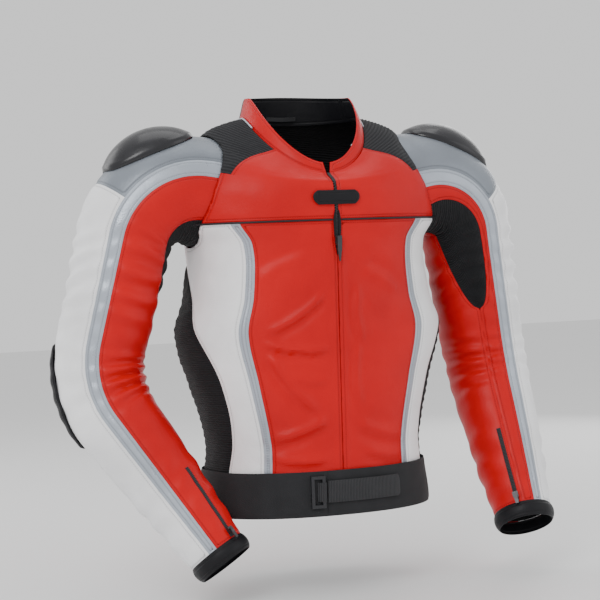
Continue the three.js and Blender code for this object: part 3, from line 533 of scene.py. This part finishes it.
def tube(name, centres, radius, material, sides=10):
    """Round cord along a line of points."""
    centres = np.asarray(centres, float)
    way = np.gradient(centres, axis=0)
    way /= np.linalg.norm(way, axis=1, keepdims=True)
    side = np.cross(way, [0.13, 0.21, 0.97])
    side /= np.linalg.norm(side, axis=1, keepdims=True)
    other = np.cross(way, side)
    turn = np.linspace(0, 2 * math.pi, sides, endpoint=False)
    radius = np.broadcast_to(radius, len(centres))
    cos, sin = np.cos(turn)[None, :, None], np.sin(turn)[None, :, None]
    ring = centres[:, None] + radius[:, None, None] * (cos * side[:, None] + sin * other[:, None])
    count = len(centres)
    faces = grid_faces(count, sides, 0, False, True).tolist()
    faces += [list(range(sides))[::-1], list(range((count - 1) * sides, count * sides))]
    run = np.repeat(lengths(centres[:, None], 0)[:, 0], sides)
    made = new_object(name, ring.reshape(-1, 3), faces, None,
                      {"edge": np.full(count * sides, NO_EDGE), "run": run, "rib": run})
    made.data.materials.append(MATERIALS[material])
    return made


# ---------- the sleeves' surface ----------
SLEEVES = {
    "right": {"side": -1, "elbow": (-314, 14, 184), "wrist": (-168, -100, -57),
              "stripe": 68, "back_seam": -78, "pad": -32, "zip": 118, "gusset": (160, 184)},
    "left": {"side": 1, "elbow": (294, 30, 184), "wrist": (285, -100, -44),
             "stripe": 84, "back_seam": -72, "pad": -50, "zip": 128, "gusset": (150, 118)},
}
ROOT = 40.0  # how far each centre line starts inside the armhole
CORNER_REACH = (79, 62)  # where the turns at the shoulder and the elbow start before their corners
PANELS_FROM, CAP_END, CUFF_BAND = -16, 98.0, 22
BLEND_REACH, STRIPE_HALF = 62.0, 9.0
GUSSET_LENGTH, GUSSET_HALF = 244, 36
CUP_FROM, CUP_LENGTH, CUP_MIDDLE, CUP_HALF = 14, 73, -4, 42
PAD_ABOVE, PAD_BELOW, PAD_HALF = 48, 56, 34


class Sleeve:
    """Centre line of two round turns, with frames carried along it without twist."""

    def __init__(self, side, elbow, wrist, **spec):
        self.side, self.spec = side, spec
        tilt = HOLE["tilt"]
        axis = np.array([side * math.cos(tilt), 0, -math.sin(tilt)])
        socket = np.array([side * HOLE["x"], HOLE["y"], HOLE["z"]])
        corners = [socket - ROOT * axis, socket + 87 * axis, np.array(elbow, float), np.array(wrist, float)]
        points, start = [], corners[0]
        for i, reach in enumerate(CORNER_REACH):
            corner = corners[i + 1]
            before, after = corner - corners[i], corners[i + 2] - corner
            before, after = before / np.linalg.norm(before), after / np.linalg.norm(after)
            entry, leave = corner - before * reach, corner + after * reach
            turn = math.acos(float(before @ after))
            handle = 4 / 3 * math.tan(turn / 4) * reach / math.tan(turn / 2)
            t = np.linspace(0, 1, 200)[:, None]
            points.append(start + (entry - start) * t[:-1])
            near, far = entry + before * handle, leave - after * handle
            curve = (entry * (1 - t) ** 3 + 3 * near * t * (1 - t) ** 2
                     + 3 * far * t * t * (1 - t) + leave * t ** 3)
            points.append(curve[:-1])
            start = leave
        points.append(start + (corners[3] - start) * np.linspace(0, 1, 200)[:, None])
        points = np.concatenate(points)
        gone = np.concatenate([[0], np.cumsum(np.linalg.norm(np.diff(points, axis=0), axis=1))])
        self.length = gone[-1]
        steps = np.linspace(0, self.length, 481)
        self.centre = np.stack([np.interp(steps, gone, points[:, k]) for k in range(3)], 1)
        tangent = np.gradient(self.centre, axis=0)
        tangent /= np.linalg.norm(tangent, axis=1, keepdims=True)
        outward = np.array([side * math.sin(tilt), 0, math.cos(tilt)])
        outs, fronts = [], []
        for way in tangent:
            outward = outward - way * (outward @ way)
            outward /= np.linalg.norm(outward)
            outs.append(outward)
            fronts.append(-side * np.cross(outward, way))
        self.outward, self.front, self.tangent = np.array(outs), np.array(fronts), tangent
        self.elbow_at = steps[np.argmin(np.linalg.norm(self.centre - corners[2], axis=1))] - ROOT
        self.end = self.length - ROOT
        self.radii = ([0, 45, 90, 150, self.elbow_at, (self.elbow_at + self.end) / 2, self.end],
                      [HOLE["radius"], 72, 69, 65, 60, 52, 39])

    def radius(self, at):
        return np.where(at < 0, HOLE["radius"], smooth(*self.radii, np.maximum(at, 0)))

    def frame_at(self, at, key):
        values = getattr(self, key)
        place = np.clip((at + ROOT) / self.length, 0, 1) * (len(values) - 1)
        k = np.minimum(place.astype(int), len(values) - 2)
        t = (place - k)[..., None]
        return values[k] * (1 - t) + values[k + 1] * t

    def __call__(self, angle, at):
        angle, at = np.broadcast_arrays(np.asarray(angle, float), np.asarray(at, float))
        radius = self.radius(at)[..., None]
        cos, sin = np.cos(rad(angle))[..., None], np.sin(rad(angle))[..., None]
        return (self.frame_at(at, "centre") + self.frame_at(at, "outward") * radius * cos
                + self.frame_at(at, "front") * radius * sin)


# ---------- folds ----------


def crease(points, a, b, wide, height):
    """A fold from a to b (front view: across, up), raised on one side and sunk on the other."""
    a, b = np.asarray(a, float), np.asarray(b, float)
    way = b - a
    length = np.linalg.norm(way)
    way = way / length
    rel = points[..., [0, 2]] - a
    along = rel @ way / length
    off = rel @ np.array([-way[1], way[0]]) + 5 * np.sin(along * 3.0)
    fade = np.exp(-((np.clip(np.abs(along - 0.5) - 0.36, 0, None) / 0.13) ** 2))
    return height * fade * (np.exp(-(off / wide) ** 2) - 0.8 * np.exp(-((off + 1.6 * wide) / wide) ** 2))


FRONT_FOLDS = [
    ((-104, 236), (-18, 226), 5.5, 5.0),
    ((-97, 252), (-24, 300), 6.0, 4.6),
    ((-98, 222), (-36, 142), 6.5, 4.4),
    ((-110, 104), (-24, 130), 7.5, 5.0),
    ((-114, 84), (-22, 76), 6.0, 3.6),
    ((-70, 190), (-16, 186), 7.0, 2.0),
    ((28, 306), (32, 238), 5.5, 4.0),
    ((26, 226), (27, 148), 5.5, 3.4),
    ((24, 122), (106, 100), 8.0, 3.0),
    ((34, 84), (112, 76), 6.5, 2.4),
    ((92, 300), (40, 330), 8.0, 2.2),
    ((-40, 352), (-110, 322), 8.0, 1.8),
]
BACK_FOLDS = [
    ((-78, 138), (64, 152), 8.0, 2.8),
    ((-60, 176), (84, 168), 8.5, 2.6),
    ((-90, 214), (20, 204), 9.0, 2.2),
    ((30, 236), (96, 250), 8.0, 2.0),
    ((-96, 380), (-40, 330), 9.0, 2.0),
    ((98, 384), (48, 330), 9.0, 2.0),
]


def trunk_folds(place, angle, at, edge):
    room = 1 - np.exp(-edge / 11)
    total = 1.5 * ripple(place, 120, 4) + 0.55 * ripple(place, 34, 9)
    front = place[..., 1] < 0
    for fold in FRONT_FOLDS:
        total = total + np.where(front, crease(place, *fold), 0)
    for fold in BACK_FOLDS:
        total = total + np.where(front, 0, crease(place, *fold))
    calm = 1 / (1 + np.exp((place[..., 2] - 440) / 16))
    return total * room * (0.35 + 0.65 * calm)


def sleeve_folds(sleeve, seed):
    """Slanting wrinkles down the arm, and deep folds on the inside of the bent elbow."""
    bend = rad(100 if sleeve.side < 0 else 120)

    def relief(place, angle, at, edge):
        turn = rad(angle)
        room = 1 - np.exp(-edge / 7)
        wander = 7 * ripple(place, 90, seed)
        upper = np.exp(-((at - 0.55 * sleeve.elbow_at) / 62) ** 2)
        slant = np.sin(2 * math.pi * (at + 26 * np.cos(turn - bend) + wander) / 28)
        total = 4.3 * upper * slant * (0.55 + 0.45 * np.cos(turn - rad(75)))
        crook = np.exp(-((at - sleeve.elbow_at) / 48) ** 2)
        inside = np.clip(0.35 + 0.65 * np.cos(turn - bend), 0, 1) ** 1.3
        folds = np.sin(2 * math.pi * (at - sleeve.elbow_at + wander * 0.7) / 27)
        total = total + 4.2 * crook * inside * folds
        lower = np.exp(-((at - 0.55 * (sleeve.elbow_at + sleeve.end)) / 60) ** 2)
        total = total + 1.5 * lower * np.sin(2 * math.pi * (at - 22 * np.cos(turn) + wander) / 37)
        total = total + 0.9 * ripple(place, 46, seed + 3)
        near_zip = np.exp(-((angle - sleeve.spec["zip"]) / 15) ** 2)
        beside_zip = near_zip / (1 + np.exp((sleeve.end - 150 - at) / 8))
        calmed = total * room * (1 - 0.85 * beside_zip)
        return calmed * np.clip(at / 45, 0, 1) * np.clip((sleeve.end - at) / 40, 0, 1)

    return relief


# ---------- the trunk's panels ----------
STRIPE_FRONT = line([(0, 36), (112, 37), (230, 38), (345, 39), (400, 41)])
SIDE_FRONT = line([(0, 66), (60, 64), (150, 58), (230, 63), (305, 84), (345, 102)])
SIDE_BACK = line([(0, 124), (112, 126), (190, 138), (250, 143), (305, 136), (345, 120)])
YOKE_SIDE = 48
BACK_SEAM = line([(112, 162), (250, 155), (400, 148), (470, 140), (512, 134)])


def steps(start, end, size=4.0):
    return np.linspace(start, end, max(3, int((end - start) / size) + 1))


def stripe_back(at):
    return STRIPE_FRONT(at) + 4.4


def outer_front(at):
    """Where the front's side panel ends: at the stretch panel, then at the armhole."""
    return np.where(at < ARMHOLE_FOOT, SIDE_FRONT(np.minimum(at, ARMHOLE_FOOT)), 102.0)


def back_hole(at):
    """Where the back's side panel starts: at the stretch panel, then behind the armhole."""
    above = np.interp(at, [345, 372, 400, 462, 470, 512], [112, 96, 90, 90, 100, 114])
    return np.where(at < ARMHOLE_FOOT, SIDE_BACK(np.minimum(at, ARMHOLE_FOOT)), above)


def both(name, slot, nodes, start, end, left, right, material, lining="mesh_lining", **extra):
    for side, word in ((1, "left"), (-1, "right")):
        if side > 0:
            a, b = left, right
        else:
            a, b = (lambda at: -right(at)), (lambda at: -left(at))
        made = patch(f"{name}_{word}", trunk, steps(start, end), a, b, material, lining=lining, **extra)
        finish_piece(made, [n.format(word) for n in nodes])


def across(width, at):
    """The angle that lies so many millimetres to the side of the front's middle."""
    return np.degrees(np.arcsin(width / smooth(LEVELS, COLUMNS[1], at)))


def meet(at):
    """The front edges: one on each side of the zip above its slider, touching below it."""
    return across(np.interp(at, [0, 356, 366, 392, 470], [0.4, 0.4, 1.4, 2.8, 2.8]), at)


def placket(place, angle, at, edge):
    """Raised strip beside the front's meeting line, with its own fold over the edge."""
    off = np.abs(place[..., 0])
    ridge = 1.5 * np.exp(-((off - 5) / 3.6) ** 2) * np.clip((372 - at) / 12, 0, 1)
    return trunk_folds(place, angle, at, edge) + ridge


def ribs(pitch, height):
    def relief(place, angle, at, edge):
        along = lengths(place, 0)
        return height * np.sin(2 * math.pi * along / pitch) * (1 - np.exp(-edge / 4))
    return relief


both("front", "red_leather", ["front_panel_{}"], PANEL_FOOT, FRONT_TOP, meet, STRIPE_FRONT,
     "red_leather", relief=placket)
both("front_stripe", "silver_leather", ["front_stripe_{}"], PANEL_FOOT, FRONT_TOP, STRIPE_FRONT, stripe_back,
     "silver_leather", step=2.5, puff=1.2, relief=trunk_folds)
both("side_front", "white_leather", ["side_front_panel_{}"], PANEL_FOOT, FRONT_TOP, stripe_back, outer_front,
     "white_leather", relief=trunk_folds, holes=True)
both("yoke", "red_leather", ["front_yoke_{}"], YOKE_FOOT, YOKE_TOP, meet,
     line([(YOKE_FOOT, 102), (440, 98), (YOKE_TOP, 86)], False), "red_leather",
     relief=trunk_folds, holes=True, soft_edges="LB")
both("yoke_top", "red_leather", [], YOKE_TOP, NECKLINE, meet, lambda at: YOKE_SIDE + 0.0 * at, "red_leather",
     relief=trunk_folds, holes=True, soft_edges="LR")
both("shoulder_ribs", "stretch_fabric", ["shoulder_stretch_panel_{}"], 471, 639,
     line([(471, YOKE_SIDE), (NECKLINE, YOKE_SIDE)]),
     line([(471, 119), (511, 122), (513, 133.4), (520, 128.4), (NECKLINE, 128.4)], False),
     "shoulder_ribs", step=2.6, relief=ribs(5.2, 0.9), holes=True)
both("side_ribs", "stretch_fabric", ["side_stretch_panel_{}"], PANEL_FOOT, ARMHOLE_FOOT,
     SIDE_FRONT, SIDE_BACK, "stretch_fabric",
     relief=lambda p, g, at, e: ribs(6.4, 0.7)(p, g, at, e) + trunk_folds(p, g, at, e))
both("back_side", "white_leather", ["back_side_panel_{}"], 113, 512, back_hole, BACK_SEAM, "white_leather",
     relief=trunk_folds, holes=True)

BACK_LEFT = line([(113, 162), (250, 155), (400, 148), (470, 140), (512, 134), (520, 128), (640, 128)], False)
centre = patch("back_centre", trunk, steps(113, NECKLINE), BACK_LEFT, lambda at: 360 - BACK_LEFT(at),
               "red_leather", relief=trunk_folds)
finish_piece(centre, ["back_centre_panel"])
lumbar = patch("lumbar", trunk, steps(PANEL_FOOT, LUMBAR_TOP), SIDE_BACK, lambda at: 360 - SIDE_BACK(at),
               "stretch_fabric",
               relief=lambda p, g, at, e: ribs(7.5, 1.1)(p, g, at, e) + 0.5 * trunk_folds(p, g, at, e))
finish_piece(lumbar, ["lumbar_panel"])

# The collar: red fronts with a turned edge, black behind.
for name, start, end, material in (
    ("collar_left", lambda s: 1.9 + 2.0 * s, 108, "red_leather"),
    ("collar_back", 108, 252, "black_leather"),
    ("collar_right", 252, lambda s: 358.1 - 2.0 * s, "red_leather"),
):
    made = patch(name, collar, np.linspace(-0.16, 1.0, 13), start, end, material,
                 step=3.2, puff=1.7, thick=3.0, lining="black_leather",
                 relief=lambda p, g, at, e: 0.7 * ripple(p, 60, 6) * (1 - np.exp(-e / 6)))
    finish_piece(made, [name])


def on_trunk(angle, at, proud=0.0):
    """A point lying proud of the trunk."""
    angle, at = np.atleast_1d(np.asarray(angle, float)), np.atleast_1d(np.asarray(at, float))
    place = trunk(angle, at)
    across = trunk(angle + 0.4, at) - trunk(angle - 0.4, at)
    up = trunk(angle, at + 0.5) - trunk(angle, at - 0.5)
    normal = np.cross(across, up)
    normal /= np.linalg.norm(normal, axis=-1, keepdims=True)
    return place + normal * proud


# Piping laid in the yoke seam and under the back of the collar.
for side in (1, -1):
    angles = np.linspace(2.1, 76, 60) * side
    seam = on_trunk(angles, np.full(60, 400.5), 0.2)
    cord = tube(f"yoke_piping_{'left' if side > 0 else 'right'}", seam, 1.35, "piping")
    finish_piece(cord)
around = np.linspace(72, 288, 110)
cord = tube("collar_piping", on_trunk(around, np.full(110, 639.0), 0.3), 1.3, "pale_piping")
finish_piece(cord)

# ---------- front zip, its garage, throat tab, belt, strap and loop ----------


def zip_line(height, sideways=0.0, proud=0.0):
    """A point near the zip: height above the hem, sideways to the wearer's left, proud of the front."""
    height = np.asarray(height, float)
    angle = across(sideways, height)
    return on_trunk(np.broadcast_to(angle, height.shape), height, proud)


teeth_points, teeth_faces = [], []
tooth = np.array([[x, y, z] for x in (-1, 1) for y in (-1, 1) for z in (-1, 1)], float)
cube = [(0, 1, 3, 2), (4, 6, 7, 5), (0, 4, 5, 1), (2, 3, 7, 6), (0, 2, 6, 4), (1, 5, 7, 3)]
for k, height in enumerate(np.concatenate([np.arange(360, 440, 1.7), np.arange(440, 636, 4.4)])):
    spot = zip_line(np.array([height]), 0.9 if k % 2 else -0.9, -1.2)[0]
    start = len(teeth_points)
    teeth_points += [spot + corner * (1.5, 0.8, 0.55) for corner in tooth]
    teeth_faces += [[start + i for i in face] for face in cube]
teeth = new_object("zip_teeth", teeth_points, teeth_faces)
teeth.data.materials.append(MATERIALS["zip_metal"])
for polygon in teeth.data.polygons:
    polygon.use_smooth = False
finish_piece(teeth)
tape = patch("zip_tape", trunk, steps(68, 638, 3.0), -2.5, 2.5, "webbing", step=1.6, lift=-2.6, thick=0.9,
             puff=0.0, lining="webbing")
finish_piece(tape, ["front_zip_chain"])


def garage_half(at):
    """Half width of the black zip garage, which narrows to a point below the yoke."""
    return across(np.interp(at, [352, 362, 380, 400, 413], [0.8, 2.8, 4.8, 5.6, 3.2]), at)


for side, word in ((1, "left"), (-1, "right")):
    rows = steps(353, 413, 2.5)
    inner = lambda at: across(np.interp(at, [352, 366, 400, 413], [0.3, 0.7, 1.3, 2.1]), at)
    a, b = (inner, garage_half) if side > 0 else ((lambda at: -garage_half(at)), (lambda at: -inner(at)))
    made = patch(f"zip_garage_{word}", trunk, rows, a, b, "black_leather",
                 step=1.2, lift=1.5, thick=1.0, puff=0.8)
    finish_piece(made)

# Throat tab with cut corners, closed over the zip.
tab_rows = np.linspace(421, 443, 12)
tab_reach = lambda at: across(33.5 - 7 * np.clip(np.abs((at - 432) / 11), 0, 1) ** 2.4, at)
made = patch("throat_tab_strap", trunk, tab_rows, lambda at: -tab_reach(at), tab_reach, "black_leather",
             step=2.2, lift=4.2, thick=-1.8, puff=1.4, relief=lambda p, g, at, e: 0.35 * ripple(p, 30, 12))
finish_piece(made, ["throat_tab"], "throat_tab")

made = patch("waist_belt_band", trunk, np.linspace(-2, 60, 17), -9.0, 350.9, "belt_cloth",
             step=4.0, lift=5.4, thick=-1.4, puff=1.3, rib_axis="across", lining="webbing",
             relief=lambda p, g, at, e: 0.9 * ripple(p, 70, 21) * (1 - np.exp(-e / 8)))
finish_piece(made, ["waist_belt"])

strap_half = lambda at: 0.0 * at + 30.0 - 1.2 * np.clip(np.abs((at - 32) / 15), 0, 1) ** 6
made = patch("belt_strap_band", trunk, np.linspace(17, 47, 13), -9.2, strap_half, "webbing",
             step=2.2, lift=9.6, thick=-6.2, puff=1.0, rib_axis="across", lining="webbing",
             relief=lambda p, g, at, e: 0.5 * ripple(p, 50, 31) * (1 - np.exp(-e / 8)))
finish_piece(made, ["belt_strap"], "belt_strap")


def over_the_bar(place, angle, at, edge):
    """The fixed end of the strap comes up through the loop and over its bar."""
    return np.interp(angle, [-14.2, -12.9, -12.2, -10.6, -10.1], [-4.2, -1.4, 0.0, 0.0, -0.6])


made = patch("strap_root", trunk, np.linspace(19, 45, 12), -14.2, -10.1, "webbing",
             step=0.7, lift=11.2, thick=-9.4, puff=0.5, rib_axis="across", lining="webbing",
             relief=over_the_bar)
finish_piece(made)

# ---------- sleeves ----------


def rounded(share):
    """Height of a half round over its width, both from 0 to 1."""
    return np.sqrt(np.clip(1 - (2 * share - 1) ** 2, 0, 1))


def build_sleeve(word):
    sleeve = Sleeve(**SLEEVES[word])
    spec, elbow, end = sleeve.spec, sleeve.elbow_at, sleeve.end
    folds = sleeve_folds(sleeve, 11 if word == "right" else 23)
    upper, fore = f"{word}_upper_sleeve", f"{word}_forearm_sleeve"
    back_seam = spec["back_seam"]
    stripe_out, stripe_in = spec["stripe"] - STRIPE_HALF, spec["stripe"] + STRIPE_HALF
    cuff = end - CUFF_BAND
    first = sleeve.frame_at(np.array([elbow - BLEND_REACH]), "centre")[0]
    last = sleeve.frame_at(np.array([elbow + BLEND_REACH]), "centre")[0]
    first, last = Vector(to_frame(first)), Vector(to_frame(last))

    def bending(made, nodes):
        finish_piece(made, [f"{word}_{n}" for n in nodes], None)
        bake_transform(made)

    # White outside, silver stripe and red inside run on over the elbow.
    outer = patch(f"{word}_outer", sleeve, steps(CAP_END, cuff + 2), back_seam, stripe_out, "white_leather",
                  relief=folds)
    bending(outer, ["upper_outer_panel", "forearm_outer_panel", "elbow_fold"])
    stripe = patch(f"{word}_stripe", sleeve, steps(PANELS_FROM, cuff + 2), stripe_out, stripe_in,
                   "silver_leather", step=2.6, puff=1.2, relief=lambda p, g, at, e: 0.35 * folds(p, g, at, e))
    bending(stripe, ["upper_stripe", "forearm_stripe"])

    def gusset(at, way):
        """Border of the pointed underarm gusset: way is -1 at its front and 1 at its back."""
        share = np.clip(np.asarray(at) / GUSSET_LENGTH, 0, 1)
        top, tip = spec["gusset"]
        return top + (tip - top) * share + way * GUSSET_HALF * np.sqrt(1 - share ** 2)

    # The red inside: two long halves that leave room for the gusset, and meet below its point.
    rows = steps(PANELS_FROM, cuff + 2, 3.6)
    front_half = patch(f"{word}_inner_front", sleeve, rows, stripe_in, lambda at: gusset(at, -1),
                       "red_leather", relief=folds)
    back_half = patch(f"{word}_inner_back", sleeve, rows, lambda at: gusset(at, 1), 360 + back_seam,
                      "red_leather", relief=folds)
    bending(front_half, ["upper_inner_panel", "forearm_inner_panel"])
    bending(back_half, [])

    root = patch(f"{word}_root", sleeve, steps(-32, -17), 0, 360, "stretch_fabric", closed=True, step=6.0,
                 relief=lambda p, g, at, e: ribs(5.0, 0.5)(p, g, at, e))
    finish_piece(root, [f"{word}_underarm_stretch"], upper)
    rows = np.concatenate([steps(PANELS_FROM, 228, 3.4), [232, 236, 239, 241.5, 243.2]])
    made = patch(f"{word}_gusset", sleeve, rows, lambda at: gusset(at, -1), lambda at: gusset(at, 1),
                 "stretch_fabric", step=3.0, lift=-0.6, thick=1.6,
                 relief=lambda p, g, at, e: ribs(5.4, 0.6)(p, g, at, e) + folds(p, g, at, e))
    finish_piece(made, [], upper)
    shoulder = patch(f"{word}_shoulder", sleeve, steps(PANELS_FROM, CAP_END), back_seam, stripe_out,
                     "grey_leather", relief=folds)
    finish_piece(shoulder, [f"{word}_shoulder_panel"], upper)

    # Glossy cup on the shoulder: a shell with a flat brim and a raised crown.
    cup_rows = np.linspace(CUP_FROM, CUP_FROM + CUP_LENGTH, 34)
    cup_share = lambda at: (np.asarray(at) - CUP_FROM) / CUP_LENGTH
    cup_half = lambda at: CUP_HALF * (0.3 + 0.7 * rounded(cup_share(at)))

    def crown(share, along):
        lift = np.sqrt(np.clip(np.sin(math.pi * share), 0, 1) * np.clip(np.sin(math.pi * along), 0, 1))
        lip = 0.9 * np.exp(-(((lift - 0.3) / 0.07) ** 2))
        return 2.2 + 18.5 * lift ** 1.35 + lip

    made = patch(f"{word}_cup", sleeve, cup_rows, lambda at: CUP_MIDDLE - cup_half(at),
                 lambda at: CUP_MIDDLE + cup_half(at), "hard_cup",
                 step=2.4, lift=0.0, thick=-1.6, puff=0.9, thicken=crown, lining="hard_cup")
    finish_piece(made, [f"{word}_shoulder_cup"], upper)

    # Padded patch outside the elbow.
    start, stop = elbow - PAD_ABOVE, elbow + PAD_BELOW
    pad_share = lambda at: (np.asarray(at) - start) / (stop - start)
    pad_half = lambda at: PAD_HALF * (0.22 + 0.78 * rounded(pad_share(at)))

    def padding(share, along):
        lift = np.sqrt(np.clip(np.sin(math.pi * share), 0, 1) * np.clip(np.sin(math.pi * along), 0, 1))
        grooves = 0.8 * np.cos(2 * math.pi * along * 6) * lift
        return 4.4 + 3.6 * lift + grooves

    made = patch(f"{word}_elbow_patch", sleeve, np.linspace(start, stop, 52),
                 lambda at: spec["pad"] - pad_half(at), lambda at: spec["pad"] + pad_half(at),
                 "black_leather", step=2.4, thick=-3.0, thicken=padding, lining="black_leather")
    finish_piece(made, [f"{word}_elbow_pad"], None)
    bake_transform(made)

    # Cuff band with a folded rim, and the short zip that opens it.
    made = patch(f"{word}_cuff", sleeve, steps(cuff, end, 1.8), 0, 360, "black_leather", closed=True,
                 step=4.0, lift=1.4, thick=1.9, puff=1.7, lining="black_leather",
                 relief=lambda p, g, at, e: 0.5 * ripple(p, 26, 15) * (1 - np.exp(-e / 5))
                 + 1.9 * np.sin(math.pi * np.clip((at - cuff) / (end - cuff), 0, 1)))
    finish_piece(made, [f"{word}_cuff_band"], fore)
    zip_rows = steps(cuff - 111, cuff - 1.5, 2.4)
    half = lambda at: np.degrees(3.0 / sleeve.radius(np.asarray(at)))
    made = patch(f"{word}_cuff_zip", sleeve, zip_rows,
                 lambda at: spec["zip"] - half(at), lambda at: spec["zip"] + half(at),
                 "webbing", step=1.0, lift=1.1, thick=0.8, puff=0.6, lining="webbing",
                 relief=lambda p, g, at, e: 0.3 * np.cos(2 * math.pi * lengths(p, 0) / 4.8)
                 + folds(p, g, at, e + 12))
    finish_piece(made, [f"{word}_cuff_zip_chain"], fore)


build_sleeve("right")
build_sleeve("left")

# ---------- lining, armour and metal kept from the CAD ----------
for name, material in (("body_lining", "mesh_lining"), ("back_protector", "foam")):
    made = bpy.data.objects[name]
    made.data.materials.clear()
    made.data.materials.append(MATERIALS[material])
metal = ["front_zip_slider", "front_zip_pull", "belt_loop_buckle"]
metal += [f"{s}_cuff_zip_{k}" for s in ("right", "left") for k in ("slider", "pull")]
for name in metal:
    made = bpy.data.objects[name]
    made.data.materials.clear()
    made.data.materials.append(MATERIALS["hard_cup" if "buckle" in name else "zip_metal"])
    rounding = made.modifiers.new("edges", "BEVEL")
    rounding.width, rounding.segments, rounding.limit_method = 0.0004, 2, "ANGLE"
loop = bpy.data.objects["hanger_loop"]
loop.data.materials.clear()
loop.data.materials.append(MATERIALS["webbing"])

# ---------- stage ----------
floor_z = cad_bounds[0][2] - 0.03


def stage_plane(name, size, place, turn, colour):
    g = Graph(name)
    tone = g.mix(g.spread(g.noise(2.0), 0.3, 0.7, 0.0, 0.12), rgba(colour), rgba(colour, 0.9))
    material = g.finish(Base_Color=tone, Roughness=0.7)
    half = size / 2
    mesh = bpy.data.meshes.new(name)
    corners = [(-half, -half, 0), (half, -half, 0), (half, half, 0), (-half, half, 0)]
    mesh.from_pydata(corners, [], [(0, 1, 2, 3)])
    mesh.materials.append(material)
    made = bpy.data.objects.new(name, mesh)
    made.location, made.rotation_euler = place, turn
    scene.collection.objects.link(made)
    return made


floor = stage_plane("floor", 14, (0, 0, floor_z), (0, 0, 0), (0.8, 0.8, 0.8))
